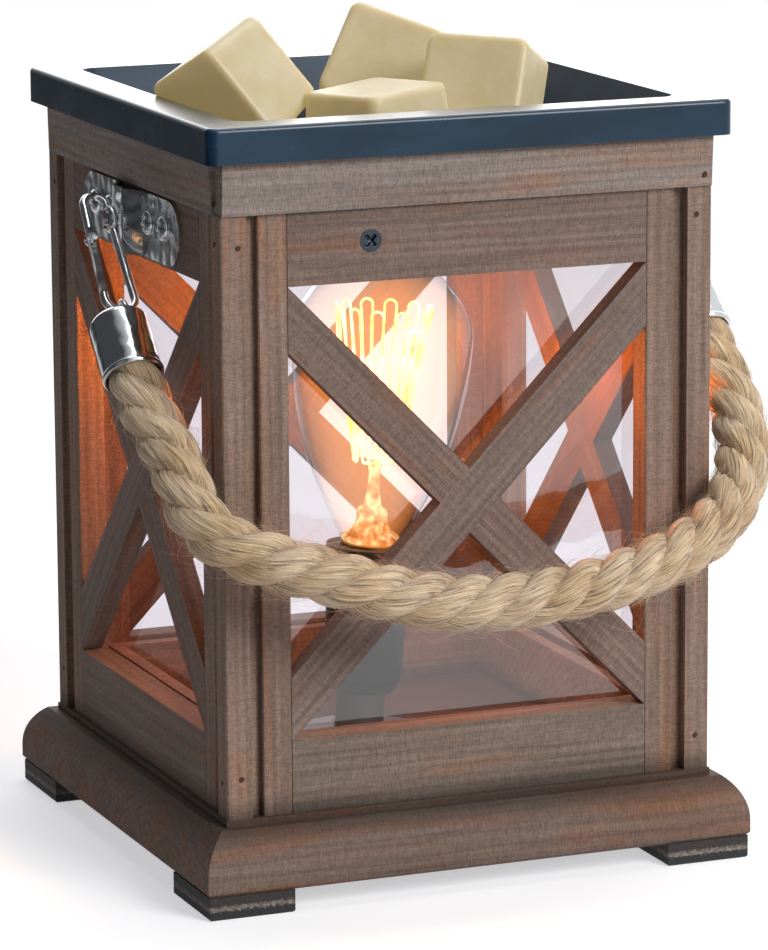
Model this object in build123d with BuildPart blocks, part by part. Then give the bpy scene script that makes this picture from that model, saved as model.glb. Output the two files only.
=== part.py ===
"""Candle warmer lantern: a walnut-stained wooden lantern with a metal wax dish on top.

Millimetres, +Z up, origin on the floor under the middle of the base board.
-Y is the front. Each sub-part is one solid, or one set of like solids, in its own file.
"""
import os
from math import acos, asin, atan, cos, degrees, pi, radians, sin, sqrt, tan

from build123d import *

os.makedirs("parts", exist_ok=True)

# ---------------------------------------------------------------- driving dimensions
# base board and feet
base_overhang = 9.0
base_thickness = 18.4
base_step_height = 1.8
base_step_overhang = 0.4
base_curve_radius = 14.75
base_curve_start = 4.6
base_chamfer = 1.0
foot_length = 29.0
foot_width = 24.5
foot_height = 6.4
foot_inset = 0.5
foot_chamfer = 0.5

# corner posts
body_width = 143.0
body_height = 164.2
post_width = 10.8
post_strip_width = 7.2
post_rabbet_depth = 3.4
post_chamfer = 0.4

# glazed side frames
frame_setback = 0.9
frame_thickness = 8.0
stile_width = 8.4
rail_width = 20.0
brace_width = 12.4
brace_thickness = 6.0
frame_chamfer = 0.35
pane_thickness = 2.0
pane_overlap = 5.0
pane_clearance = 0.2
stop_thickness = 4.0
stop_setdown = 1.0
cleat_thickness = 6.0
cleat_lip_height = 7.0

# apron under the dish
apron_height = 23.0
apron_thickness = 5.0
apron_overhang = 0.7
apron_flare = 1.5
apron_end_setback = 1.0
apron_gap = 0.1

# wax dish
dish_overhang = 4.5
dish_sheet = 1.0
dish_lip_depth = 9.8
dish_corner_radius = 3.0
dish_fold_radius = 1.3
dish_rim_width = 11.4
dish_basin_depth = 20.0
dish_basin_slope = 10.0
dish_basin_corner = 5.0

# wax melts, a tapered block each, as shares of the basin's width and then of the melt's own
melt_width_share = 0.2322
melt_height_share = 0.7
melt_taper_share = 0.05
melt_corner_share = 0.14
melt_rounding_share = 0.0733

# screws
screw_head_radius = 3.15
screw_shank_radius = 1.6
screw_length = 13.0
screw_tip_gap = 0.5
screw_fit = 0.05
rail_screw_x = -28.5
rail_screw_drop = 9.0
base_screw_radius = 2.0
base_screw_head_radius = 4.0
base_screw_bite = 12.0
strap_screw_head_radius = 3.5
strap_screw_head_height = 1.7
strap_screw_head_edge = 0.4
strap_screw_length = 7.0

# lamp
lamp_lean = 4.2
lamp_x = -5.2
flange_radius = 19.0
flange_thickness = 1.5
flange_screw_radius = 13.0
nipple_radius = 7.0
nipple_height = 14.0
socket_radius = 11.5
socket_height = 42.0
socket_wall_floor = 19.5
socket_rim_height = 3.0
socket_rim_step = 1.0
socket_rim_slope = 2.0
socket_foot_inset = 2.0
socket_foot_height = 4.0
cap_radius = 8.35
cap_fit = 0.1
cap_height = 20.0
cap_contact_radius = 2.5
cap_contact_height = 3.0
cap_contact_bevel = 1.0
cap_shoulder_inset = 1.5
cap_shoulder_height = 2.0
cap_floor_thickness = 3.0
neck_radius = 8.6
neck_height = 1.2
bulb_radius = 25.7
bulb_belly_height = 60.0
bulb_crown_height = 22.0
bulb_shoulder_radius = 17.0
bulb_wall = 0.8
stem_radius = 2.2
stem_height = 25.0
stem_flare_height = 9.0
stem_flare_edge = 1.0
stem_button_radius = 3.1
stem_button_height = 2.0
stem_button_slope = 1.0
mast_radius = 0.9
mast_height = 64.0
mast_button_height = 1.5
mast_button_slope = 0.5
filament_wire = 0.35
filament_strands = 10
filament_top_radius = 12.5
filament_foot_radius = 6.5
filament_gap = 0.1

# cord gland in the rear edge of the base board
gland_bore_radius = 2.8
gland_body_radius = 4.2
gland_flange_radius = 5.4
gland_flange_thickness = 2.0
gland_length = 12.0
gland_height = 13.2

# eye straps on the left and right top rails
strap_length = 80.0
strap_height = 18.0
strap_sheet = 1.2
strap_bulge_depth = 3.7
strap_bulge_half = 4.0
strap_bulge_foot = 10.5
strap_bend_radius = 1.6
strap_screw_inner = 15.5
strap_screw_outer = 28.0
stud_radius = 1.5
stud_length = 3.5
stud_head_radius = 2.75
stud_head_height = 1.2

# snap hooks, ferrules and rope of the bail handle
handle_tilt = 43.6
hook_wire = 2.3
hook_fit = 0.1
hook_standoff = 1.9
hook_top_radius = 3.2
hook_foot_radius = 4.2
hook_foot_lean = 1.3
hook_top_r = -5.2
hook_foot_r = 27.3
gate_pivot_r = 6.2
gate_tip_r = 25.0
gate_gap = 0.4
gate_width = 1.8
gate_knuckle_radius = 1.2
gate_depth = 1.8
gate_side_gap = 0.1
gate_pin_radius = 0.6
gate_pin_fit = 0.05
cheek_radius = 1.7
cheek_thickness = 0.6
ferrule_radius = 8.1
ferrule_bead = 0.45
ferrule_shoulder = 2.0
ferrule_top_r = 34.4
ferrule_mouth_r = 54.0
ferrule_bore_depth = 12.0
ferrule_rim_clearance = 0.3
eye_wire = 1.6
eye_radius = 2.6
rope_diameter = 15.1
rope_fit = 0.05
rope_start_r = 42.5
rope_front_gap = 28.1
# rope route in the plane of the handle, from a ferrule to the middle: distance to the side as a
# share of the ferrule mouth's, and share of the way down from the rope's start to its low run
rope_side_shares = [(0.997, 0.0), (1.002, 0.203), (0.997, 0.415), (0.941, 0.623), (0.818, 0.803),
                    (0.629, 0.928), (0.393, 0.986), (0.138, 1.0)]
rope_bend_share = 0.45

# ---------------------------------------------------------------- levels and faces
base_bottom = foot_height
base_top = base_bottom + base_thickness
body_half = body_width / 2
base_width = body_width + 2 * base_overhang
dish_width = body_width + 2 * dish_overhang
body_top = base_top + body_height
apron_top = body_top + apron_height
dish_top = apron_top + dish_sheet
frame_face = body_half - frame_setback
frame_back = frame_face - frame_thickness
frame_half = body_half - post_width
opening_half = frame_half - stile_width
opening_bottom = base_top + rail_width
opening_top = body_top - rail_width
opening_height = opening_top - opening_bottom
opening_mid = (opening_top + opening_bottom) / 2
pane_back = frame_back - pane_thickness
pane_top = opening_top + pane_overlap
stop_face = pane_back - pane_clearance
strap_mid = body_top - rail_width / 2
handle_axis_z = strap_mid

side_order = ("front", "right", "back", "left")
sides = {name: 90 * turn for turn, name in enumerate(side_order)}


def side_plane(angle, distance):
    """Plane on one side of the lantern: X along the side, Y up, Z outwards."""
    outward = Vector(0, -1, 0).rotate(Axis.Z, angle)
    along = Vector(1, 0, 0).rotate(Axis.Z, angle)
    return Plane(origin=outward * distance, x_dir=along, z_dir=outward)


def section_plane(angle):
    """Upright plane across one side, through the middle: X outwards, Y up."""
    outward = Vector(0, -1, 0).rotate(Axis.Z, angle)
    return Plane(origin=(0, 0, 0), x_dir=outward, z_dir=outward.cross(Vector(0, 0, 1)))


def save(name, part):
    """Label one sub-part and write it to its own STEP file."""
    part.label = name
    export_step(part, f"parts/{name}.step")


# ---------------------------------------------------------------- base board and feet
def base_profile():
    """Half section of the base board: chamfer, straight edge, curve, quirk and step."""
    half = base_width / 2
    curve_bottom = base_bottom + base_curve_start
    land = base_top - base_step_height
    sweep_angle = degrees(asin((land - curve_bottom) / base_curve_radius))
    step_half = body_half + base_step_overhang
    centre_x = half - base_curve_radius
    with BuildLine() as profile:
        curve = CenterArc((centre_x, curve_bottom), base_curve_radius, 0, sweep_angle)
        Polyline((0, base_bottom), (half - base_chamfer, base_bottom),
                 (half, base_bottom + base_chamfer), curve @ 0)
        Polyline(curve @ 1, (step_half, land), (step_half, base_top), (0, base_top))
        mirror(about=Plane.YZ)
    return profile.edges()


base_screw_at = body_half - post_width / 2
gland_seat_half = gland_flange_radius + screw_fit
base_outline = base_profile()

with BuildPart() as base_board:
    with BuildSketch(Plane.XZ):
        make_face(base_outline)
    extrude(amount=base_width / 2, both=True)
    with BuildSketch(Plane.YZ):
        make_face(base_outline)
    extrude(amount=base_width / 2, both=True, mode=Mode.INTERSECT)
    with Locations(Plane.XY.offset(base_bottom).rotated((180, 0, 0))):
        with GridLocations(2 * base_screw_at, 2 * base_screw_at, 2, 2):
            CounterSinkHole(base_screw_radius + screw_fit, base_screw_head_radius)
    # the cord's way in: a seat for the gland, a duct to the middle and a riser to the socket
    with Locations(Plane(origin=(lamp_x, base_width / 2, gland_height), z_dir=(0, 1, 0))):
        Hole(gland_bore_radius, depth=base_width / 2)
        Hole(gland_body_radius + screw_fit, depth=gland_length + screw_fit)
        Hole(gland_seat_half, depth=gland_flange_thickness)
    with Locations(Plane(origin=(lamp_x, 0, base_top))):
        Hole(gland_bore_radius, depth=base_top - gland_height)
    for side_y in (-1, 1):
        with Locations(Plane(origin=(lamp_x, side_y * flange_screw_radius, base_top))):
            Hole(screw_shank_radius + screw_fit, depth=screw_length)
save("base_board", base_board.part)

foot_x = base_width / 2 - foot_inset - foot_width / 2
foot_y = base_width / 2 - foot_inset - foot_length / 2

with BuildPart() as feet:
    with BuildSketch():
        with GridLocations(2 * foot_x, 2 * foot_y, 2, 2):
            Rectangle(foot_width, foot_length)
    extrude(amount=foot_height)
    chamfer(feet.edges().group_by(Axis.Z)[0], foot_chamfer)
save("feet", feet.part)

with BuildPart() as gland:
    gland_plane = Plane(origin=(lamp_x, base_width / 2, gland_height), z_dir=(0, 1, 0))
    with BuildSketch(gland_plane):
        Circle(gland_body_radius)
    extrude(amount=-gland_length)
    with BuildSketch(gland_plane.offset(-gland_flange_thickness)):
        Circle(gland_flange_radius)
    extrude(amount=gland_flange_thickness)
    fillet(gland.edges().group_by(Axis.Y)[-1], gland_flange_thickness / 3)
    with Locations(gland_plane):
        Hole(gland_bore_radius)
save("cord_gland", gland.part)

# ---------------------------------------------------------------- corner posts
post_centre = body_half - post_width / 2
rabbet_width = post_width - post_strip_width


def build_post(side_x, side_y):
    """Corner post: a square core with a rabbet on each outer face beside its proud strip."""
    with BuildPart() as post:
        with BuildSketch(Plane.XY.offset(base_top)):
            with Locations((side_x * post_centre, side_y * post_centre)):
                Rectangle(post_width, post_width)
            rabbet_along = body_half - post_width + rabbet_width / 2
            rabbet_across = body_half - post_rabbet_depth / 2
            with Locations((side_x * rabbet_along, side_y * rabbet_across)):
                Rectangle(rabbet_width, post_rabbet_depth, mode=Mode.SUBTRACT)
            with Locations((side_x * rabbet_across, side_y * rabbet_along)):
                Rectangle(post_rabbet_depth, rabbet_width, mode=Mode.SUBTRACT)
        extrude(amount=body_height)
        corner = (side_x * body_half, side_y * body_half, base_top + body_height / 2)
        outer_edge = post.edges().filter_by(Axis.Z).sort_by_distance(corner)[0]
        chamfer(outer_edge, post_chamfer)
        with Locations(Plane(origin=(side_x * post_centre, side_y * post_centre, base_top),
                             z_dir=(0, 0, -1))):
            Hole(base_screw_radius + screw_fit, depth=base_screw_bite)
    return post.part


for front_back, side_y in (("front", -1), ("back", 1)):
    for left_right, side_x in (("left", -1), ("right", 1)):
        save(f"post_{front_back}_{left_right}", build_post(side_x, side_y))

with BuildPart() as base_screws:
    screw_total = base_thickness + base_screw_bite - screw_fit
    head_height = base_screw_head_radius - base_screw_radius
    with BuildSketch(Plane.XY.offset(base_bottom)):
        with GridLocations(2 * base_screw_at, 2 * base_screw_at, 2, 2):
            Circle(base_screw_radius)
    extrude(amount=screw_total)
    for corner_x in (-base_screw_at, base_screw_at):
        for corner_y in (-base_screw_at, base_screw_at):
            with Locations((corner_x, corner_y, base_bottom + head_height / 2)):
                Cone(base_screw_head_radius - screw_fit, base_screw_radius, head_height)
save("base_screws", base_screws.part)

# ---------------------------------------------------------------- glazed side frames
brace_diagonal = sqrt((2 * opening_half) ** 2 + opening_height ** 2)
brace_angle = degrees(acos(brace_width / brace_diagonal) - atan(2 * opening_half / opening_height))


def strap_screw_places():
    """Screw positions of an eye strap, along the rail and up."""
    offsets = (-strap_screw_outer, -strap_screw_inner, strap_screw_inner, strap_screw_outer)
    return [(offset_y, strap_mid) for offset_y in offsets]


def brace_strip(angle, mode=Mode.ADD):
    """Strip across the opening whose edges run through two opposite corners of it."""
    with Locations((0, opening_mid)):
        Rectangle(2 * brace_diagonal, brace_width, rotation=angle, mode=mode)


def clip_to_opening():
    """Keep only what lies inside the frame's opening."""
    with Locations((0, opening_mid)):
        Rectangle(2 * opening_half, opening_height, mode=Mode.INTERSECT)


def build_side(name, angle):
    """One glazed frame: two stiles, two rails, a long brace, two short ones and a pane."""
    face = side_plane(angle, frame_face)
    stile_mid = opening_half + stile_width / 2

    with BuildPart() as stiles:
        with BuildSketch(face):
            for place in (-stile_mid, stile_mid):
                with Locations((place, base_top + body_height / 2)):
                    Rectangle(stile_width, body_height)
        extrude(amount=-frame_thickness)
        upright_edges = stiles.edges().filter_by(Axis.Z)
        chamfer(upright_edges.group_by(Axis(face.origin, face.z_dir))[-1], frame_chamfer)
    save(f"{name}_stiles", stiles.part)

    with BuildPart() as top_rail:
        with BuildSketch(face):
            with Locations((0, opening_top + rail_width / 2)):
                Rectangle(2 * opening_half, rail_width)
        extrude(amount=-frame_thickness)
        if name in ("left", "right"):
            with Locations(face):
                with Locations(*strap_screw_places()):
                    Hole(screw_shank_radius + screw_fit, depth=strap_screw_length)
        else:
            with Locations(face):
                with Locations((rail_screw_x, body_top - rail_screw_drop)):
                    CounterSinkHole(screw_shank_radius + screw_fit, screw_head_radius)
    save(f"{name}_top_rail", top_rail.part)

    with BuildPart() as bottom_rail:
        with BuildSketch(face):
            with Locations((0, base_top + rail_width / 2)):
                Rectangle(2 * opening_half, rail_width)
        extrude(amount=-frame_thickness)
    save(f"{name}_bottom_rail", bottom_rail.part)

    with BuildPart() as long_brace:
        with BuildSketch(face):
            brace_strip(brace_angle)
            clip_to_opening()
        extrude(amount=-brace_thickness)
    save(f"{name}_long_brace", long_brace.part)

    with BuildPart() as short_braces:
        with BuildSketch(face):
            brace_strip(-brace_angle)
            clip_to_opening()
            brace_strip(brace_angle, mode=Mode.SUBTRACT)
        extrude(amount=-brace_thickness)
    save(f"{name}_short_braces", short_braces.part)

    with BuildPart() as pane:
        with BuildSketch(side_plane(angle, frame_back)):
            with Locations((0, (base_top + pane_top) / 2)):
                Rectangle(2 * (frame_half - 2 * pane_clearance), pane_top - base_top)
        extrude(amount=-pane_thickness)
    save(f"{name}_glass", pane.part)


for side_name, side_angle in sides.items():
    build_side(side_name, side_angle)


stop_long = frame_half - 2 * pane_clearance
stop_short = stop_face - stop_thickness - apron_gap

with BuildPart() as pane_stops:
    for side_name, side_angle in sides.items():
        half = stop_long if side_name in ("front", "back") else stop_short
        stop_height = rail_width - stop_setdown
        with BuildSketch(side_plane(side_angle, stop_face)):
            with Locations((0, base_top + stop_height / 2)):
                Rectangle(2 * half, stop_height)
        extrude(amount=-stop_thickness)
save("pane_stops", pane_stops.part)

cleat_inner = frame_back - cleat_thickness
cleat_short = cleat_inner - apron_gap
cleat_body_height = body_top - pane_top - pane_clearance

with BuildPart() as top_cleats:
    for side_name, side_angle in sides.items():
        half = stop_long if side_name in ("front", "back") else cleat_short
        with BuildSketch(side_plane(side_angle, frame_back)):
            with Locations((0, body_top - cleat_body_height / 2)):
                Rectangle(2 * half, cleat_body_height)
        extrude(amount=-cleat_thickness)
        with BuildSketch(side_plane(side_angle, stop_face)):
            with Locations((0, body_top - cleat_body_height - cleat_lip_height / 2)):
                Rectangle(2 * half, cleat_lip_height)
        extrude(amount=-(stop_face - cleat_inner))
        if side_name in ("front", "back"):
            with Locations(side_plane(side_angle, frame_back)):
                with Locations((rail_screw_x, body_top - rail_screw_drop)):
                    Hole(screw_shank_radius + screw_fit, depth=screw_length - frame_thickness)
save("top_cleats", top_cleats.part)


def screw_section(head_radius, shank_radius, length):
    """Half section of a countersunk screw with its head's face at the sketch's origin."""
    with BuildLine() as section:
        Polyline((0, 0), (head_radius, 0), (shank_radius, shank_radius - head_radius),
                 (shank_radius, -length), (0, -length), close=True)
    return section.edges()


countersunk_outline = screw_section(screw_head_radius - screw_fit, screw_shank_radius,
                                    screw_length - screw_tip_gap)


with BuildPart() as countersunk_screws:
    screw_planes = []
    for side_name in ("front", "back"):
        face = side_plane(sides[side_name], frame_face)
        spot = face.from_local_coords((rail_screw_x, body_top - rail_screw_drop, 0))
        screw_planes.append(Plane(origin=spot, x_dir=face.x_dir, z_dir=-face.y_dir))
    for side_y in (-1, 1):
        spot = (lamp_x, side_y * flange_screw_radius, base_top + flange_thickness)
        screw_planes.append(Plane(origin=spot, x_dir=(1, 0, 0), z_dir=(0, -1, 0)))
    for screw_plane in screw_planes:
        with BuildSketch(screw_plane):
            make_face(countersunk_outline)
        revolve(axis=Axis(screw_plane.origin, screw_plane.y_dir))
save("countersunk_screws", countersunk_screws.part)

# ---------------------------------------------------------------- apron
apron_foot = body_half + apron_overhang
apron_inner = apron_foot - apron_thickness
for side_name, side_angle in sides.items():
    through = side_name in ("front", "back")
    half = apron_foot - apron_end_setback if through else apron_inner - apron_gap
    with BuildPart() as apron:
        with BuildSketch(section_plane(side_angle)):
            with BuildLine():
                Polyline((apron_inner, body_top), (apron_foot, body_top),
                         (apron_foot + apron_flare, apron_top), (apron_inner, apron_top),
                         close=True)
            make_face()
        extrude(amount=half, both=True)
    save(f"{side_name}_apron", apron.part)

# ---------------------------------------------------------------- wax dish
basin_half = dish_width / 2 - dish_rim_width
basin_floor_half = basin_half - dish_basin_slope
basin_floor = dish_top - dish_basin_depth
lip_bottom = dish_top - dish_lip_depth

with BuildPart() as wax_dish:
    with BuildSketch(Plane.XY.offset(lip_bottom)):
        RectangleRounded(dish_width, dish_width, dish_corner_radius)
    extrude(amount=dish_lip_depth)
    fillet(wax_dish.edges().group_by(Axis.Z)[-1], dish_fold_radius)
    lip_inner = dish_width - 2 * dish_sheet
    with BuildSketch(Plane.XY.offset(lip_bottom)):
        RectangleRounded(lip_inner, lip_inner, dish_corner_radius - dish_sheet)
    extrude(amount=dish_lip_depth - dish_sheet, mode=Mode.SUBTRACT)
    for sheet, level_top, level_floor, mode in (
            (dish_sheet, apron_top, basin_floor - dish_sheet, Mode.ADD),
            (0, dish_top, basin_floor, Mode.SUBTRACT)):
        with BuildSketch(Plane.XY.offset(level_top)):
            RectangleRounded(2 * (basin_half + sheet), 2 * (basin_half + sheet),
                             dish_basin_corner + sheet)
        with BuildSketch(Plane.XY.offset(level_floor)):
            RectangleRounded(2 * (basin_floor_half + sheet), 2 * (basin_floor_half + sheet),
                             dish_basin_corner + sheet)
        loft(mode=mode)
save("wax_dish", wax_dish.part)

# ---------------------------------------------------------------- wax melts
melt_width = 2 * basin_half * melt_width_share
melt_height = melt_width * melt_height_share
melt_top_width = melt_width * (1 - 2 * melt_taper_share)
melt_corner = melt_width * melt_corner_share

# each melt's middle, from the middle of the basin's floor, in melt widths
melt_place_shares = {
    "wax_melt_left": (-1.5167, -0.5133, 0.689),
    "wax_melt_back": (0.3133, 0.44, 0.668),
    "wax_melt_right": (0.7084, -0.9389, 0.588),
    "wax_melt_front": (-0.4155, -1.2146, 0.3895),
}
# how each is turned about X, Y and Z
melt_turn_angles = {
    "wax_melt_left": (-42.6, 51.7, 111.0),
    "wax_melt_back": (61.3, -22.0, -32.5),
    "wax_melt_right": (60.3, -32.8, -19.9),
    "wax_melt_front": (-0.2, -4.2, 22.4),
}

for melt_name, place in melt_place_shares.items():
    centre = Vector(0, 0, basin_floor) + Vector(*place) * melt_width
    melt_plane = Plane(Location(centre, melt_turn_angles[melt_name]))
    with BuildPart() as melt:
        with BuildSketch(melt_plane.offset(-melt_height / 2)):
            RectangleRounded(melt_width, melt_width, melt_corner)
        with BuildSketch(melt_plane.offset(melt_height / 2)):
            RectangleRounded(melt_top_width, melt_top_width, melt_corner)
        loft()
        along_melt = Axis(melt_plane.origin, melt_plane.z_dir)
        rims = melt.edges().group_by(along_melt)
        fillet(rims[0] + rims[-1], melt_width * melt_rounding_share)
    save(melt_name, melt.part)

# ---------------------------------------------------------------- lamp
lamp_tilt = radians(lamp_lean)
lamp_plane = Plane(origin=(lamp_x, 0, base_top), x_dir=(cos(lamp_tilt), 0, -sin(lamp_tilt)),
                   z_dir=(0, -1, 0))
lamp_axis = Axis(lamp_plane.origin, lamp_plane.y_dir)
lamp_floor = Plane(origin=lamp_plane.origin, x_dir=lamp_plane.x_dir, z_dir=lamp_plane.y_dir)

with BuildPart() as socket_bracket:
    with BuildSketch(Plane.XY.offset(base_top)):
        with Locations((lamp_x, 0)):
            Circle(flange_radius)
    extrude(amount=flange_thickness)
    with BuildSketch(lamp_floor.offset(flange_thickness / 2)):
        Circle(nipple_radius)
    extrude(amount=nipple_height - flange_thickness / 2)
    with Locations(lamp_floor.offset(nipple_height)):
        Hole(gland_bore_radius)
    for side_y in (-1, 1):
        spot = (lamp_x, side_y * flange_screw_radius, base_top + flange_thickness)
        with Locations(Plane(origin=spot)):
            CounterSinkHole(screw_shank_radius + screw_fit, screw_head_radius)
save("socket_bracket", socket_bracket.part)

socket_top = nipple_height + socket_height
socket_floor = nipple_height + socket_wall_floor
with BuildPart() as lamp_socket:
    bore = cap_radius + cap_fit
    rim = socket_radius + socket_rim_step
    rim_foot = socket_top - socket_rim_height
    with BuildSketch(lamp_plane):
        with BuildLine():
            Polyline((gland_bore_radius, nipple_height),
                     (socket_radius - socket_foot_inset, nipple_height),
                     (socket_radius, nipple_height + socket_foot_height),
                     (socket_radius, rim_foot - socket_rim_slope), (rim, rim_foot), (rim, socket_top),
                     (bore, socket_top), (bore, socket_floor),
                     (gland_bore_radius, socket_floor), close=True)
        make_face()
    revolve(axis=lamp_axis)
save("lamp_socket", lamp_socket.part)

cap_bottom = socket_floor + cap_contact_height + cap_fit
cap_top = cap_bottom + cap_height
with BuildPart() as bulb_cap:
    inner = cap_radius - bulb_wall
    contact_level = cap_bottom - cap_contact_height
    floor_level = cap_bottom + cap_floor_thickness
    with BuildSketch(lamp_plane):
        with BuildLine():
            Polyline((0, contact_level), (cap_contact_radius, contact_level),
                     (cap_contact_radius + cap_contact_bevel, cap_bottom - cap_contact_bevel),
                     (cap_radius - cap_shoulder_inset, cap_bottom),
                     (cap_radius, cap_bottom + cap_shoulder_height),
                     (cap_radius, cap_top), (inner, cap_top), (inner, floor_level),
                     (0, floor_level), close=True)
        make_face()
    revolve(axis=lamp_axis)
save("bulb_cap", bulb_cap.part)

glass_bottom = cap_top
belly = glass_bottom + bulb_belly_height


def bulb_outline(wall):
    """Glass profile at one depth in the wall: drawn-out flank, rounded shoulder and crown."""
    shoulder_x = bulb_radius - bulb_shoulder_radius
    rise = bulb_crown_height - bulb_shoulder_radius
    crown_drop = (shoulder_x ** 2 - rise ** 2) / (2 * rise)
    turn = degrees(atan(crown_drop / shoulder_x))
    flank = TangentArc((bulb_radius - wall, belly), (neck_radius - wall, glass_bottom + neck_height),
                       tangent=(0, -1))
    CenterArc((shoulder_x, belly), bulb_shoulder_radius - wall, 0, turn)
    crown_radius = bulb_crown_height + crown_drop - wall
    crown = CenterArc((0, belly - crown_drop), crown_radius, turn, 90 - turn)
    return flank, crown


with BuildPart() as bulb_glass:
    with BuildSketch(lamp_plane):
        with BuildLine():
            outer_flank, outer_crown = bulb_outline(0)
            inner_flank, inner_crown = bulb_outline(bulb_wall)
            Line(outer_crown @ 1, inner_crown @ 1)
            Polyline(outer_flank @ 1, (neck_radius, glass_bottom),
                     (neck_radius - bulb_wall, glass_bottom), inner_flank @ 1)
        make_face()
    revolve(axis=lamp_axis)
save("bulb_glass", bulb_glass.part)

stem_top = glass_bottom + stem_height
mast_top = glass_bottom + mast_height
with BuildPart() as bulb_stem:
    flare = neck_radius - bulb_wall - filament_gap
    button_foot = stem_top - stem_button_height
    mast_button_foot = mast_top - mast_button_height
    with BuildSketch(lamp_plane):
        with BuildLine():
            Polyline((0, glass_bottom), (flare, glass_bottom),
                     (flare, glass_bottom + stem_flare_edge),
                     (stem_radius, glass_bottom + stem_flare_height),
                     (stem_radius, button_foot - stem_button_slope),
                     (stem_button_radius, button_foot), (stem_button_radius, stem_top),
                     (mast_radius, stem_top + stem_button_slope),
                     (mast_radius, mast_button_foot - mast_button_slope),
                     (stem_radius, mast_button_foot), (stem_radius, mast_top), (0, mast_top),
                     close=True)
        make_face()
    revolve(axis=lamp_axis)
save("bulb_stem", bulb_stem.part)

filament_top = mast_top - mast_button_height / 2
filament_foot = stem_top - stem_button_height / 2


def cage_point(index):
    """Corner of the zigzag filament: even corners at the foot, odd ones at the top."""
    angle = pi * index / filament_strands
    high = index % 2
    reach = filament_top_radius if high else filament_foot_radius
    level = filament_top if high else filament_foot
    return lamp_floor.from_local_coords((reach * cos(angle), reach * sin(angle), level))


def wire_between(start, end, radius):
    """Straight wire from one point to another."""
    run = end - start
    with Locations(Plane(origin=(start + end) / 2, z_dir=run)):
        Cylinder(radius, run.length)


with BuildPart() as bulb_filament:
    for strand in range(2 * filament_strands):
        corner = cage_point(strand)
        wire_between(corner, cage_point(strand + 1), filament_wire)
        with Locations(corner):
            Sphere(filament_wire)
    for strand in range(0, 2 * filament_strands, 2):
        for corner_index, level, hub in ((strand, filament_foot, stem_button_radius),
                                         (strand + 1, filament_top, stem_radius)):
            corner = cage_point(corner_index)
            centre = lamp_floor.from_local_coords((0, 0, level))
            inward = (corner - centre).normalized()
            wire_between(centre + inward * (hub + filament_gap), corner, filament_wire)
save("bulb_filament", bulb_filament.part)

# ---------------------------------------------------------------- eye straps
bulge_face = frame_face + strap_sheet + strap_bulge_depth


def build_strap(angle):
    """Eye strap: two round-ended ears, a pressed bulge between them and its stud."""
    middle = frame_face + strap_sheet / 2
    crest = middle + strap_bulge_depth
    along = side_plane(angle, 0)
    floor = Plane(origin=(0, 0, strap_mid - strap_height / 2), x_dir=along.x_dir,
                  z_dir=(0, 0, 1))
    outward = 1 if floor.y_dir.dot(along.z_dir) > 0 else -1
    with BuildPart() as strap:
        with BuildSketch(floor):
            with BuildLine():
                FilletPolyline((-strap_length / 2, outward * middle),
                               (-strap_bulge_foot, outward * middle),
                               (-strap_bulge_half, outward * crest),
                               (strap_bulge_half, outward * crest),
                               (strap_bulge_foot, outward * middle),
                               (strap_length / 2, outward * middle), radius=strap_bend_radius)
            trace(line_width=strap_sheet)
        extrude(amount=strap_height)
        with BuildSketch(side_plane(angle, frame_face)):
            with Locations((0, strap_mid)):
                SlotOverall(strap_length, strap_height)
        extrude(amount=2 * strap_bulge_depth + strap_sheet, mode=Mode.INTERSECT)
        with Locations(side_plane(angle, frame_face + strap_sheet)):
            with Locations(*strap_screw_places()):
                Hole(screw_shank_radius + screw_fit)
        with BuildSketch(side_plane(angle, bulge_face - strap_sheet / 2)):
            with Locations((0, strap_mid)):
                Circle(stud_radius)
        extrude(amount=stud_length + strap_sheet / 2)
        with BuildSketch(side_plane(angle, bulge_face + stud_length)):
            with Locations((0, strap_mid)):
                Circle(stud_head_radius)
        extrude(amount=stud_head_height)
    return strap.part


with BuildPart() as strap_screws:
    for strap_name in ("left", "right"):
        ear = side_plane(sides[strap_name], frame_face + strap_sheet)
        for place_along, place_up in strap_screw_places():
            spot = ear.from_local_coords((place_along, place_up, 0))
            with BuildSketch(Plane(origin=spot, x_dir=ear.x_dir, z_dir=-ear.y_dir)):
                shank_end = strap_screw_length + strap_sheet - screw_fit
                with BuildLine():
                    Polyline((0, strap_screw_head_height), (strap_screw_head_radius / 2,
                             strap_screw_head_height),
                             (strap_screw_head_radius, strap_screw_head_edge),
                             (strap_screw_head_radius, 0), (screw_shank_radius, 0),
                             (screw_shank_radius, -shank_end), (0, -shank_end), close=True)
                make_face()
            revolve(axis=Axis(spot, ear.z_dir))
save("strap_screws", strap_screws.part)

for strap_name in ("left", "right"):
    save(f"{strap_name}_eye_strap", build_strap(sides[strap_name]))

# ---------------------------------------------------------------- bail handle
tilt = radians(handle_tilt)
handle_plane = Plane(origin=(0, 0, handle_axis_z), x_dir=(1, 0, 0), z_dir=(0, sin(tilt), -cos(tilt)))
wire_radius = hook_wire / 2
top_x = bulge_face + hook_standoff + hook_top_radius
foot_x_centre = top_x + hook_foot_lean
hook_run = hook_foot_r - hook_top_r
hook_length = sqrt(hook_run ** 2 + hook_foot_lean ** 2)
hook_axis_angle = atan(hook_foot_lean / hook_run)
hook_flare = asin((hook_foot_radius - hook_top_radius) / hook_length)


def hook_point(side, along, across):
    """Point of a hook in the handle's plane, along its own axis and across it, outwards."""
    x = top_x + along * sin(hook_axis_angle) + across * cos(hook_axis_angle)
    r = hook_top_r + along * cos(hook_axis_angle) - across * sin(hook_axis_angle)
    return (side * x, r)


def flank_point(side, along, outward):
    """Point on the outer or the inner flank of a hook's wire."""
    start = -hook_top_radius * sin(hook_flare)
    across = hook_top_radius * cos(hook_flare) + (along - start) * tan(hook_flare)
    return hook_point(side, along, outward * across)


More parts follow.
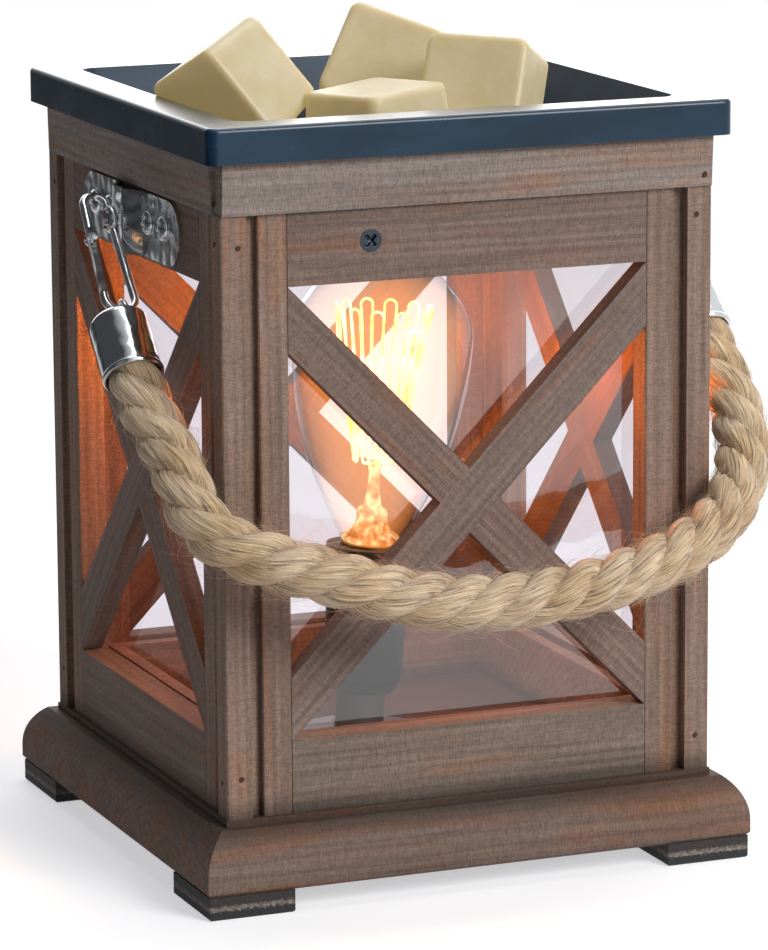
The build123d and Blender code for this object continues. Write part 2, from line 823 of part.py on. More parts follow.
def world(point):
    """Point of the handle's plane in the part's own frame."""
    return handle_plane.from_local_coords((point[0], point[1], 0))


def hook_along(r):
    """How far along the hook's axis a distance from the hinge line lies."""
    return (r - hook_top_r) / cos(hook_axis_angle)


stud_eye_radius = stud_radius + hook_fit + wire_radius


def build_hook(side):
    """Snap hook bent from wire: an eye round the stud, a top bend, a foot bend and a nose."""
    nose = flank_point(side, hook_along(gate_tip_r + gate_gap), 1)
    foot_out = flank_point(side, hook_length - hook_foot_radius * sin(hook_flare), 1)
    foot_in = flank_point(side, hook_length - hook_foot_radius * sin(hook_flare), -1)
    foot_end = hook_point(side, hook_length + hook_foot_radius, 0)
    top_in = flank_point(side, -hook_top_radius * sin(hook_flare), -1)
    top_out = flank_point(side, -hook_top_radius * sin(hook_flare), 1)
    top_end = hook_point(side, -hook_top_radius, 0)
    eye_low = flank_point(side, hook_along(stud_eye_radius), -1)
    eye_high = flank_point(side, hook_along(-stud_eye_radius), -1)
    pivot = flank_point(side, hook_along(gate_pivot_r), 1)
    wire_end = flank_point(side, hook_along(gate_pivot_r - cheek_radius), 1)
    with BuildPart() as hook:
        for start, bend, end, tail in ((nose, (foot_out, foot_end, foot_in), eye_low, None),
                                       (eye_high, (top_in, top_end, top_out), wire_end, None)):
            with BuildLine(handle_plane) as wire_path:
                Line(start, bend[0])
                ThreePointArc(*bend)
                Line(bend[2], end)
            with BuildSketch(Plane(origin=wire_path.line @ 0, z_dir=wire_path.line % 0)):
                Circle(wire_radius)
            sweep(path=wire_path.line)
        eye_x = (eye_low[0] + eye_high[0]) / 2
        with Locations(Plane(origin=(eye_x, 0, handle_axis_z), z_dir=(1, 0, 0))):
            Torus(stud_eye_radius, wire_radius)
        # two cheeks and a pin carry the gate
        for cheek_side in (-1, 1):
            inner_face = gate_depth / 2 + gate_side_gap
            cheek_plane = handle_plane.offset(cheek_side * inner_face)
            with BuildSketch(cheek_plane):
                with Locations(pivot):
                    Circle(cheek_radius)
                with Locations(wire_end):
                    Circle(wire_radius)
            extrude(amount=cheek_side * cheek_thickness)
        with BuildSketch(handle_plane.offset(-gate_depth)):
            with Locations(pivot):
                Circle(gate_pin_radius)
        extrude(amount=2 * gate_depth)
    return hook.part


def build_gate(side):
    """Sprung gate: a flat bar that closes the hook between its cheeks and its nose."""
    pivot = Vector(*flank_point(side, hook_along(gate_pivot_r), 1))
    tip = Vector(*flank_point(side, hook_along(gate_tip_r), 1))
    middle = (pivot + tip) / 2
    lean = degrees(atan((tip.X - pivot.X) / (tip.Y - pivot.Y)))
    with BuildPart() as gate:
        with BuildSketch(handle_plane.offset(-gate_depth / 2)):
            with Locations(middle):
                Rectangle(gate_width, (tip - pivot).length, rotation=-lean)
            with Locations(pivot):
                Circle(gate_knuckle_radius)
                Circle(gate_pin_radius + gate_pin_fit, mode=Mode.SUBTRACT)
        extrude(amount=gate_depth)
    return gate.part


ferrule_top_x = dish_width / 2 + ferrule_rim_clearance + ferrule_radius
ferrule_mouth_x = ferrule_top_x + ferrule_bead


def build_ferrule(side):
    """Rope cap: shouldered shell with a rolled bead at its mouth and a wire eye on top."""
    top = world((side * ferrule_top_x, ferrule_top_r))
    mouth = world((side * ferrule_mouth_x, ferrule_mouth_r))
    along = (mouth - top).normalized()
    length = (mouth - top).length
    across = along.cross(handle_plane.z_dir)
    section = Plane(origin=top, x_dir=across, z_dir=across.cross(along))
    bore = rope_diameter / 2 + rope_fit
    with BuildPart() as ferrule:
        with BuildSketch(section):
            with BuildLine():
                shoulder = RadiusArc((ferrule_radius - ferrule_shoulder, 0),
                                     (ferrule_radius, ferrule_shoulder), -ferrule_shoulder)
                bead_start = (ferrule_radius, length - 4 * ferrule_bead)
                bead_mid = (ferrule_radius + ferrule_bead, length - 2 * ferrule_bead)
                Line(shoulder @ 1, bead_start)
                ThreePointArc(bead_start, bead_mid, (ferrule_radius, length))
                Polyline((ferrule_radius, length), (bore, length),
                         (bore, length - ferrule_bore_depth), (0, length - ferrule_bore_depth),
                         (0, 0), shoulder @ 0)
            make_face()
        revolve(axis=Axis(top, along))
        hook_foot = hook_point(side, hook_length + hook_foot_radius, 0)
        with Locations(Plane(origin=world(hook_foot), z_dir=(1, 0, 0))):
            Torus(eye_radius, eye_wire / 2)
    return ferrule.part


for handle_side, side in (("left", -1), ("right", 1)):
    save(f"{handle_side}_snap_hook", build_hook(side))
    save(f"{handle_side}_hook_gate", build_gate(side))
    save(f"{handle_side}_ferrule", build_ferrule(side))

# ---------------------------------------------------------------- rope
rope_low_r = (body_half + rope_front_gap) / cos(tilt)
rope_side_points = [(share_x * ferrule_mouth_x, rope_start_r + share_r * (rope_low_r - rope_start_r))
                    for share_x, share_r in rope_side_shares]
left_points = [(-x, r) for x, r in rope_side_points]
rope_points = [world(p) for p in left_points + rope_side_points[::-1]]


def bend_radii(points):
    """Tangent arc at each corner: a share of the shorter run over tan(half the turn)."""
    radii = []
    for before, corner, after in zip(points, points[1:], points[2:]):
        run_in = corner - before
        run_out = after - corner
        half_turn = radians(run_in.get_angle(run_out)) / 2
        radii.append(rope_bend_share * min(run_in.length, run_out.length) / tan(half_turn))
    return radii


rope_radii = bend_radii(rope_points)
with BuildPart() as rope_handle:
    with BuildLine() as rope_path:
        FilletPolyline(*rope_points, radius=rope_radii)
    with BuildSketch(Plane(origin=rope_path.line @ 0, z_dir=rope_path.line % 0)):
        Circle(rope_diameter / 2)
    sweep(path=rope_path.line)
save("rope_handle", rope_handle.part)

rope_length = sum(edge.length for edge in rope_path.edges())
rope_section = pi * (rope_diameter / 2) ** 2
print("rope radii", [round(radius, 1) for radius in rope_radii])
print("rope length", round(rope_length, 1), "volume over section times length",
      round(rope_handle.part.volume / (rope_section * rope_length), 5))
print("rope ends", [tuple(round(value, 2) for value in point) for point in
                    (rope_points[0], rope_points[-1])])
print("brace angle", round(brace_angle, 3))
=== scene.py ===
"""Dresses a candle warmer lantern: stained wood, enamelled dish, wax, chrome, glass and jute."""

import math

import bpy
import numpy as np
from bpy.props import FloatProperty, FloatVectorProperty, IntProperty, PointerProperty
from bpy.types import Operator, Panel, PropertyGroup
from mathutils import Matrix, Vector


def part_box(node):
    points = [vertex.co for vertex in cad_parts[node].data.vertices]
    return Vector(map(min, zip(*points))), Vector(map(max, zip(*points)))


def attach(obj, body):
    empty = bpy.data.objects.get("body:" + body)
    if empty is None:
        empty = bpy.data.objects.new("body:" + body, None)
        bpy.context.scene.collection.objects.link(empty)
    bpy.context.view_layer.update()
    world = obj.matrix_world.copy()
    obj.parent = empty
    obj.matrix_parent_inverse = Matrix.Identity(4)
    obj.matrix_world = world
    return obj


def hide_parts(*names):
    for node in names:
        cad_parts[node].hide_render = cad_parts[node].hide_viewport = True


bl_info = {
    "name": "Candle Warmer Lantern",
    "version": (1, 0, 0),
    "blender": (4, 5, 0),
    "location": "View3D > Sidebar > Lantern",
    "description": "Finishes every piece of a wooden candle warmer lantern",
    "category": "Object",
}

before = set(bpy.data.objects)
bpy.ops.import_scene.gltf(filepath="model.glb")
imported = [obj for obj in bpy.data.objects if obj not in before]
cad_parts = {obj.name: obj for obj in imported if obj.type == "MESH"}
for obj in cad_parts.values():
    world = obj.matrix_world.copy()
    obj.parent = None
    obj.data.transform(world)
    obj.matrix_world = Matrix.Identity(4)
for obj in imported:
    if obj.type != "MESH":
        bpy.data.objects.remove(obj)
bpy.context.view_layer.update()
MM = 0.001
SIDES = ("front", "right", "back", "left")


# ---------------------------------------------------------------- settings
class RopeSettings(PropertyGroup):
    diameter: FloatProperty(
        name="Diameter", description="Rope over its strands", default=15.3 * MM, unit="LENGTH")
    lay: FloatProperty(
        name="Lay", description="Length in which a strand goes once round the rope",
        default=34.0 * MM, unit="LENGTH")
    strands: IntProperty(name="Strands", description="Strands laid together", default=3)
    yarns: IntProperty(name="Yarns", description="Yarn ridges round one strand", default=9)
    yarn_relief: FloatProperty(
        name="Yarn relief", description="Height of a yarn over its groove",
        default=0.45 * MM, unit="LENGTH")
    hairs: IntProperty(name="Hairs", description="Loose fibres over the whole rope", default=5200)
    tilt: FloatProperty(
        name="Handle tilt", description="Angle of the handle below the horizon at rest",
        default=math.radians(43.6), subtype="ANGLE")
    hinge_height: FloatProperty(
        name="Hinge height", description="Height of the line that the handle turns about",
        default=179.0 * MM, unit="LENGTH")
    # Both fibre colours are partly painted light: the sunlit one holds painted highlights, the dark
    # one painted shade down between the yarns, over the jute's own colours.
    light_fibre: FloatVectorProperty(
        name="Light fibre", description="Sunlit jute", subtype="COLOR", default=(0.97, 0.89, 0.78))
    shaded_fibre: FloatVectorProperty(
        name="Dark fibre", description="Jute down between the yarns", subtype="COLOR",
        default=(0.50, 0.38, 0.26))


class WoodSettings(PropertyGroup):
    pale: FloatVectorProperty(
        name="Pale", description="Worn high grain", subtype="COLOR", default=(0.61, 0.56, 0.53))
    stain: FloatVectorProperty(
        name="Stain", description="Walnut stain on flat grain", subtype="COLOR",
        default=(0.52, 0.47, 0.44))
    pore: FloatVectorProperty(
        name="Pore", description="Stain gathered in the pores", subtype="COLOR",
        default=(0.38, 0.34, 0.33))
    streak: FloatVectorProperty(
        name="Streak", description="Warm heartwood streak", subtype="COLOR",
        default=(0.60, 0.43, 0.32))
    grain_spacing: FloatProperty(
        name="Grain spacing", description="Distance between growth lines", default=1.3 * MM,
        unit="LENGTH")
    pore_width: FloatProperty(
        name="Pore width", description="Width of an open pore", default=0.35 * MM, unit="LENGTH")


class LampSettings(PropertyGroup):
    glow: FloatProperty(
        name="Glow", description="Power of the lit filament", default=1.8, subtype="POWER")
    colour: FloatVectorProperty(
        name="Colour", description="Light of the filament", subtype="COLOR",
        default=(1.0, 0.29, 0.045))


class CameraSettings(PropertyGroup):
    place: FloatVectorProperty(
        name="Place", description="Where the camera stands", subtype="TRANSLATION",
        default=(-0.5137, -1.2809, 0.3834))
    target: FloatVectorProperty(
        name="Target", description="What it looks at", subtype="TRANSLATION",
        default=(0.00287, -0.00116, 0.10068))
    roll: FloatProperty(
        name="Roll", description="Turn about its own axis", default=math.radians(-0.373),
        subtype="ANGLE")
    lens: FloatProperty(
        name="Lens", description="Focal length on a 36 mm long side", default=187.7)


# ---------------------------------------------------------------- helpers
def linear(code):
    """A sRGB hex code, or three sRGB shares, as a linear colour with alpha 1."""
    shares = [int(code[i:i + 2], 16) / 255 for i in (1, 3, 5)] if isinstance(code, str) else code
    return tuple(c / 12.92 if c <= 0.04045 else ((c + 0.055) / 1.055) ** 2.4
                 for c in shares) + (1.0,)


def add(tree, kind, links=None, **settings):
    """One node with its settings and its inputs, each a value or another node's output."""
    node = tree.nodes.new(kind)
    for key, value in settings.items():
        setattr(node, key, value)
    for name, value in (links or {}).items():
        if isinstance(value, bpy.types.NodeSocket):
            tree.links.new(value, node.inputs[name])
        else:
            node.inputs[name].default_value = value
    return node


def ramp(tree, factor, stops):
    """A colour ramp: stops are pairs of place and a grey, a sRGB code or a linear colour."""
    node = add(tree, "ShaderNodeValToRGB", {"Fac": factor})
    elements = node.color_ramp.elements
    while len(elements) < len(stops):
        elements.new(0.5)
    for element, (place, colour) in zip(elements, stops):
        element.position = place
        if isinstance(colour, str):
            colour = linear(colour)
        element.color = grey(colour) if isinstance(colour, float) else colour
    return node.outputs["Color"]


def grey(value):
    """A grey as a linear colour with alpha 1."""
    return (value, value, value, 1.0)


def mixed(tree, factor, first, second, blend="MIX"):
    """Two colours blended; the factor is how much the second one counts."""
    return add(tree, "ShaderNodeMix", {"Factor": factor, 6: first, 7: second},
               data_type="RGBA", blend_type=blend).outputs[2]


def calculated(tree, operation, *values):
    """The result of a Math node on up to three values."""
    return add(tree, "ShaderNodeMath", dict(enumerate(values)), operation=operation).outputs[0]


def remapped(tree, value, low, high, start=0.0, end=1.0, **settings):
    """The value carried from the range start to end into the range low to high."""
    return add(tree, "ShaderNodeMapRange", {"Value": value, "From Min": start, "From Max": end,
                                            "To Min": low, "To Max": high}, **settings).outputs[0]


def bumped(tree, height, strength, distance, normal=None):
    """A normal tilted by a height; the distance is how deep the relief goes, in metres."""
    links = {"Height": height, "Strength": strength, "Distance": distance}
    if normal is not None:
        links["Normal"] = normal
    return add(tree, "ShaderNodeBump", links).outputs[0]


def coordinate(tree, kind="Object"):
    """The place of a point on its piece, in metres, its UV place, or a direction in the world."""
    return add(tree, "ShaderNodeTexCoord").outputs[kind]


def part_of(tree, vector, axis):
    """One axis of a vector."""
    return add(tree, "ShaderNodeSeparateXYZ", {"Vector": vector}).outputs[axis]


def new_material(name):
    """An empty node material and its tree."""
    material = bpy.data.materials.new(name)
    material.use_nodes = True
    material.node_tree.nodes.clear()
    return material, material.node_tree


def finished(material, links, kind="ShaderNodeBsdfPrincipled"):
    """The material with its last shader joined to its output."""
    shader = add(material.node_tree, kind, links).outputs[0]
    add(material.node_tree, "ShaderNodeOutputMaterial", {"Surface": shader})
    return material


def mesh_piece(name, points, faces, uv=None):
    """A smooth mesh object from arrays of points and of faces that all have as many corners."""
    mesh = bpy.data.meshes.new(name)
    corners = faces.shape[1]
    mesh.vertices.add(len(points))
    mesh.vertices.foreach_set("co", np.asarray(points, np.float32).ravel())
    mesh.loops.add(faces.size)
    mesh.loops.foreach_set("vertex_index", faces.astype(np.int32).ravel())
    mesh.polygons.add(len(faces))
    mesh.polygons.foreach_set("loop_start", np.arange(0, faces.size, corners, dtype=np.int32))
    mesh.polygons.foreach_set("use_smooth", np.full(len(faces), True))
    if uv is not None:
        layer = mesh.uv_layers.new(name="UVMap")
        layer.data.foreach_set("uv", np.asarray(uv, np.float32)[faces.ravel()].ravel())
    mesh.update(calc_edges=True)
    mesh.validate()
    piece = bpy.data.objects.new(name, mesh)
    bpy.context.scene.collection.objects.link(piece)
    return piece


def joined_grids(name, grids, maps=None):
    """One piece of several surfaces, which must all have as many rows and columns.

    Each closes round its second direction, unless it comes with a UV map: then its last column
    already lies on its first one.
    """
    quads = []
    for number, grid in enumerate(grids):
        rows, columns = grid.shape[:2]
        index = np.arange(rows * columns).reshape(rows, columns) + number * rows * columns
        here, after = (index, np.roll(index, -1, 1)) if maps is None else (index[:, :-1],
                                                                           index[:, 1:])
        quads.append(np.stack([here[:-1], here[1:], after[1:], after[:-1]], -1).reshape(-1, 4))
    points = np.concatenate([grid.reshape(-1, 3) for grid in grids])
    uv = None if maps is None else np.concatenate([flat.reshape(-1, 2) for flat in maps])
    return mesh_piece(name, points, np.concatenate(quads), uv)


def unit(vectors):
    """The same directions with length 1."""
    return vectors / np.linalg.norm(vectors, axis=-1, keepdims=True)


def dress(material, *names):
    """Gives CAD nodes a material."""
    for name in names:
        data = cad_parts[name].data
        data.materials.clear()
        data.materials.append(material)


def sized(tree, place, along, across, random=None, detail=3.0, distortion=0.0):
    """Noise whose spots are as long and as wide as the two sizes, in metres."""
    stretched = add(tree, "ShaderNodeMapping",
                    {"Vector": place, "Scale": (1 / along, 1 / across, 1 / across)})
    links = {"Vector": stretched.outputs[0], "Scale": 1.0, "Detail": detail,
             "Distortion": distortion}
    if random is not None:
        links["W"] = random
    return add(tree, "ShaderNodeTexNoise", links,
               noise_dimensions="3D" if random is None else "4D").outputs["Fac"]


# ---------------------------------------------------------------- materials
def stained_wood(name, turn=(0.0, 0.0, 0.0), tone="#FFFFFF", heartwood=0.54):
    """Pine boards rubbed with walnut stain: open grain, dark pores, warm streaks, matte.

    turn brings the grain's direction onto X, tone is how much stain a board took, and a lower
    heartwood gives more warm streaks. Spots are long along the grain and narrow across it. Rings
    round a heart outside the board show as arcs on its ends and as lines on its faces. Painted
    shade darkens the boards where they meet the base.
    """
    wood = bpy.context.scene.lantern_wood
    material, tree = new_material(name)
    place = coordinate(tree)
    # Painted shade: the colour darkens towards the top of the base, where the boards meet it.
    base_top, base_shade_reach = 24.0 * MM, 8 * MM
    from_base = calculated(tree, "SUBTRACT", part_of(tree, place, "Z"), base_top)
    from_base = calculated(tree, "ABSOLUTE", from_base)
    gathered = remapped(tree, from_base, 0.36, 1.0, 0.0, base_shade_reach,
                        interpolation_type="SMOOTHSTEP")
    place = add(tree, "ShaderNodeMapping", {"Vector": place, "Rotation": turn}).outputs[0]
    heart_place = add(tree, "ShaderNodeMapping", {"Vector": place,
                                                  "Location": (0.0, 0.045, 0.03)}).outputs[0]
    ring_spacing, ring_scale = 2.6 * MM, 0.314
    rings = add(tree, "ShaderNodeTexWave",
                {"Vector": heart_place, "Scale": ring_scale / ring_spacing, "Distortion": 5.0,
                 "Detail": 3.0, "Detail Scale": 0.12, "Detail Roughness": 0.6},
                wave_type="RINGS", rings_direction="X").outputs["Fac"]
    piece = add(tree, "ShaderNodeObjectInfo").outputs["Random"]
    offset = calculated(tree, "MULTIPLY", piece, 40.0)
    board = sized(tree, place, 90 * MM, 14 * MM, offset, 2.0, 0.6)
    growth = sized(tree, place, 42 * MM, wood.grain_spacing, offset, 4.0, 0.4)
    pores = sized(tree, place, 2.2 * MM, wood.pore_width, offset, 2.0)
    ticks = sized(tree, place, 0.4 * MM, 2.4 * MM, offset, 4.0, 1.0)
    fleck = sized(tree, place, 1.1 * MM, 0.7 * MM, offset, 5.0, 2.0)
    heart = sized(tree, place, 60 * MM, 7 * MM, offset, 3.0, 0.8)
    base = ramp(tree, growth, [(0.14, linear(wood.pore)), (0.43, linear(wood.stain)),
                               (0.80, linear(wood.pale))])
    warm = ramp(tree, heart, [(heartwood, 0.0), (heartwood + 0.2, 0.7)])
    base = mixed(tree, warm, base, linear(wood.streak))
    shade = ramp(tree, board, [(0.28, 0.78), (0.52, 1.0), (0.75, 1.12)])
    open_pores = ramp(tree, pores, [(0.28, 0.66), (0.50, 1.0), (0.70, 1.12)])
    saw = ramp(tree, ticks, [(0.36, 0.72), (0.60, 1.16)])
    mottle = ramp(tree, fleck, [(0.30, 0.62), (0.46, 0.98), (0.66, 1.2)])
    year = ramp(tree, rings, [(0.15, 0.78), (0.75, 1.08)])
    # gathered multiplies in the painted shade at the base top.
    for pattern, weight in ((linear(tone), 1.0), (shade, 1.0), (open_pores, 0.5), (saw, 0.8),
                            (mottle, 0.65), (year, 0.45), (gathered, 1.0)):
        base = mixed(tree, weight, base, pattern, "MULTIPLY")
    relief = calculated(tree, "ADD", calculated(tree, "ADD", growth, pores), ticks)
    return finished(material, {
        "Base Color": base, "Roughness": remapped(tree, growth, 0.62, 0.82),
        "Normal": bumped(tree, relief, 0.55, 0.35 * MM), "Specular IOR Level": 0.35})


def painted_ply():
    """Plywood feet painted black: matte, a pale bare middle ply, and painted shade along the top.
    """
    material, tree = new_material("painted ply")
    place = coordinate(tree)
    wobble = sized(tree, place, 1.0 * MM, 0.8 * MM)
    level = calculated(tree, "MULTIPLY_ADD", wobble, 2.2 * MM, part_of(tree, place, "Z"))
    strip = remapped(tree, level, 0.0, 1.0, 2.8 * MM, 5.8 * MM)
    wear = sized(tree, place, 1.2 * MM, 0.8 * MM)
    # Above 0.8 the dark is painted shade, the shade under the base's overhang; the black at the
    # bottom and the pale ply are the foot's own colours.
    colour = ramp(tree, strip, [(0.0, "#1B1D20"), (0.22, "#24211F"), (0.34, "#8B7F76"),
                                (0.68, "#6B5F58"), (0.8, "#2A2522")])
    scuffs = ramp(tree, wear, [(0.36, 0.4), (0.64, 1.3)])
    return finished(material, {
        "Base Color": mixed(tree, 1.0, colour, scuffs, "MULTIPLY"),
        "Roughness": 0.7, "Normal": bumped(tree, wear, 0.4, 0.2 * MM)})


def baked_enamel():
    """Pressed steel dish in blue-black baked enamel: semi-gloss with a faint orange peel.

    Faces that look up have a clear coat as well, so the flat rim shines paler than the sides.
    """
    material, tree = new_material("baked enamel")
    place = coordinate(tree)
    cloud = sized(tree, place, 30 * MM, 12 * MM)
    peel = sized(tree, place, 0.9 * MM, 0.9 * MM)
    colour = ramp(tree, cloud, [(0.3, "#0D2536"), (0.7, "#123348")])
    upward = part_of(tree, add(tree, "ShaderNodeNewGeometry").outputs["True Normal"], "Z")
    coat = ramp(tree, upward, [(0.9, 0.0), (0.98, 1.0)])
    return finished(material, {
        "Base Color": colour, "Roughness": remapped(tree, cloud, 0.2, 0.32),
        "Normal": bumped(tree, peel, 0.12, 0.1 * MM), "Specular IOR Level": 0.35,
        "Coat Weight": coat, "Coat Roughness": 0.35})


def soy_wax():
    """Cast soy wax: cream, soft and a little see-through, with a low sheen and faint frosting."""
    material, tree = new_material("soy wax")
    place = coordinate(tree)
    frost = sized(tree, place, 9 * MM, 9 * MM, None, 5.0, 0.5)
    skin = sized(tree, place, 2.2 * MM, 2.2 * MM)
    colour = ramp(tree, frost, [(0.3, "#A39B80"), (0.7, "#B1AA9A")])
    return finished(material, {
        "Base Color": colour, "Roughness": 0.42,
        "Normal": bumped(tree, skin, 0.2, 0.3 * MM), "Specular IOR Level": 0.4,
        "Subsurface Weight": 0.85, "Subsurface Radius": (1.0, 0.75, 0.42),
        "Subsurface Scale": 8 * MM,
        # Painted light: the wax gives off a faint warm glow in place of light that passes through
        # it, which lifts its shaded sides.
        "Emission Color": linear("#F4D48A"), "Emission Strength": 0.24})


def clear_glass(name, tint, blend, glow=0.0):
    """Thin clear glass: polished, and shinier at a glancing angle; light passes it unbent.

    Only the face that the eye meets first shines, as both faces of thin glass shine as one. glow
    is painted light: the glass gives off the haze of warm light on the inside of a lit bulb,
    strongest where one looks straight in, with a painted white highlight along its edge.
    """
    material, tree = new_material(name)
    shader = add(tree, "ShaderNodeBsdfTransparent", {"Color": linear(tint)}).outputs[0]
    gloss = add(tree, "ShaderNodeBsdfGlossy", {"Color": grey(1.0), "Roughness": 0.02}).outputs[0]
    weight = add(tree, "ShaderNodeLayerWeight", {"Blend": blend}).outputs
    behind = add(tree, "ShaderNodeNewGeometry").outputs["Backfacing"]
    before = calculated(tree, "SUBTRACT", 1.0, behind)
    shine = calculated(tree, "MULTIPLY", before, weight["Fresnel"])
    if glow:
        # Painted light: a warm glow where one looks straight through, and a painted white highlight
        # at the edge.
        warm = [glow * channel for channel in linear("#FF9C4A")[:3]] + [1.0]
        haze = ramp(tree, weight["Facing"], [(0.05, warm), (0.50, 0.0), (0.72, 0.0),
                                             (0.93, 0.9)])
        haze = add(tree, "ShaderNodeEmission", {"Color": haze, "Strength": before}).outputs[0]
        shader = add(tree, "ShaderNodeAddShader", {0: shader, 1: haze}).outputs[0]
    return finished(material, {"Fac": shine, 1: shader, 2: gloss}, "ShaderNodeMixShader")


def plated(name, tone, low, high, dents=0.3):
    """Nickel-chrome plating over pressed or bent steel: bright, with light smears and dents."""
    material, tree = new_material(name)
    place = coordinate(tree)
    smear = sized(tree, place, 5 * MM, 2 * MM)
    press = sized(tree, place, 9 * MM, 7 * MM, None, 1.0)
    dent = bumped(tree, press, dents, 0.8 * MM)
    return finished(material, {
        "Base Color": linear(tone), "Metallic": 1.0,
        "Roughness": remapped(tree, smear, low, high, 0.3, 0.7),
        "Normal": bumped(tree, smear, 0.12, 0.3 * MM, dent)})


def moulded(name, tone, roughness):
    """Moulded phenolic or rubber: dark, matte, with a fine grit."""
    material, tree = new_material(name)
    grit = sized(tree, coordinate(tree), 0.5 * MM, 0.5 * MM)
    colour = ramp(tree, grit, [(0.2, "#000000"), (0.6, linear(tone))])
    return finished(material, {
        "Base Color": colour, "Roughness": roughness,
        "Normal": bumped(tree, grit, 0.2, 0.1 * MM)})


def glowing(name, deep, bright, strength, spot):
    """Light given off in spots from deep to bright: by the lit carbon thread, and as painted glow
    on glass.
    """
    material, tree = new_material(name)
    heat = sized(tree, coordinate(tree), spot, spot)
    colour = ramp(tree, heat, [(0.36, linear(deep)), (0.62, linear(bright))])
    power = remapped(tree, heat, 0.4 * strength, 1.5 * strength, 0.3, 0.7)
    return finished(material, {"Color": colour, "Strength": power}, "ShaderNodeEmission")


def jute():
    """Laid jute: dull plant fibre, its UV map runs along and across the fibres."""
    rope = bpy.context.scene.lantern_rope
    material, tree = new_material("laid jute")
    place = coordinate(tree, "UV")
    fibre = sized(tree, place, 7 * MM, 0.3 * MM, None, 4.0, 0.6)
    clump = sized(tree, place, 8 * MM, 1.3 * MM, None, 3.0, 1.0)
    patch = sized(tree, coordinate(tree), 16 * MM, 16 * MM)
    # From dark to sunlit fibre: the jute's own colours together with painted shade and painted
    # highlights.
    colour = ramp(tree, fibre, [(0.30, linear(rope.shaded_fibre)), (0.46, "#D2B795"),
                                (0.66, linear(rope.light_fibre))])
    # Painted shade and highlight: the colour darkens deep between clumps of fibre and brightens on
    # them.
    painted_shade_and_highlight = ramp(tree, clump, [(0.30, 0.24), (0.46, 0.94), (0.7, 1.16)])
    tone = ramp(tree, patch, [(0.3, "#E9DCC4"), (0.7, "#FFFFFF")])
    colour = mixed(tree, 0.8, colour, painted_shade_and_highlight, "MULTIPLY")
    colour = mixed(tree, 1.0, colour, tone, "MULTIPLY")
    return finished(material, {
        "Base Color": colour, "Roughness": 0.85,
        "Normal": bumped(tree, calculated(tree, "ADD", fibre, clump), 0.9, 0.5 * MM),
        "Specular IOR Level": 0.25, "Sheen Weight": 0.3, "Sheen Roughness": 0.6})


# ---------------------------------------------------------------- wood
class LANTERN_OT_wood(Operator):
    """Stains the base, posts, rails, stiles, braces, strips and apron, each along its own grain"""
    bl_idname = "lantern.wood"
    bl_label = "Stained wood"

    def execute(self, context):
        quarter = math.pi / 2
        brace = math.radians(45.517)
        along_x, along_y, along_z = (0.0, 0.0, 0.0), (0.0, 0.0, -quarter), (0.0, quarter, 0.0)
        for side in SIDES:
            level = along_x if side in ("front", "back") else along_y
            for kind, turn, tone in (("top_rail", level, "#DFCFC8"),
                                     ("bottom_rail", level, "#E7DFD5"),
                                     ("apron", level, "#FFFFFF"), ("stiles", along_z, "#FFEBDC")):
                dress(stained_wood(f"walnut stain {side} {kind}", turn, tone), f"{side}_{kind}")
            for kind, rise, tone in (("long_brace", brace, "#EBE0DB"),
                                     ("short_braces", -brace, "#E4D3CB")):
                lean = {"front": (0.0, rise, 0.0), "back": (0.0, -rise, 0.0),
                        "right": (-rise, 0.0, 0.0), "left": (rise, 0.0, 0.0)}[side]
                turn = Matrix.Rotation(lean[1], 3, "Y") @ Matrix.Rotation(lean[0], 3, "X")
                if side in ("left", "right"):
                    turn = Matrix.Rotation(-quarter, 3, "Z") @ turn
                dress(stained_wood(f"walnut stain {side} {kind}", turn.to_euler(), tone),
                      f"{side}_{kind}")
        dress(stained_wood("walnut stain posts", along_z, "#FFEBDC"),
              *[f"post_{place}" for place in ("front_left", "front_right", "back_left",
                                              "back_right")])
        dress(stained_wood("walnut stain base", along_x, "#DDCDC3", 0.46), "base_board")
        dress(stained_wood("walnut stain inside", along_x, "#E4D2C7"), "pane_stops", "top_cleats")
        dress(painted_ply(), "feet")
        return {"FINISHED"}


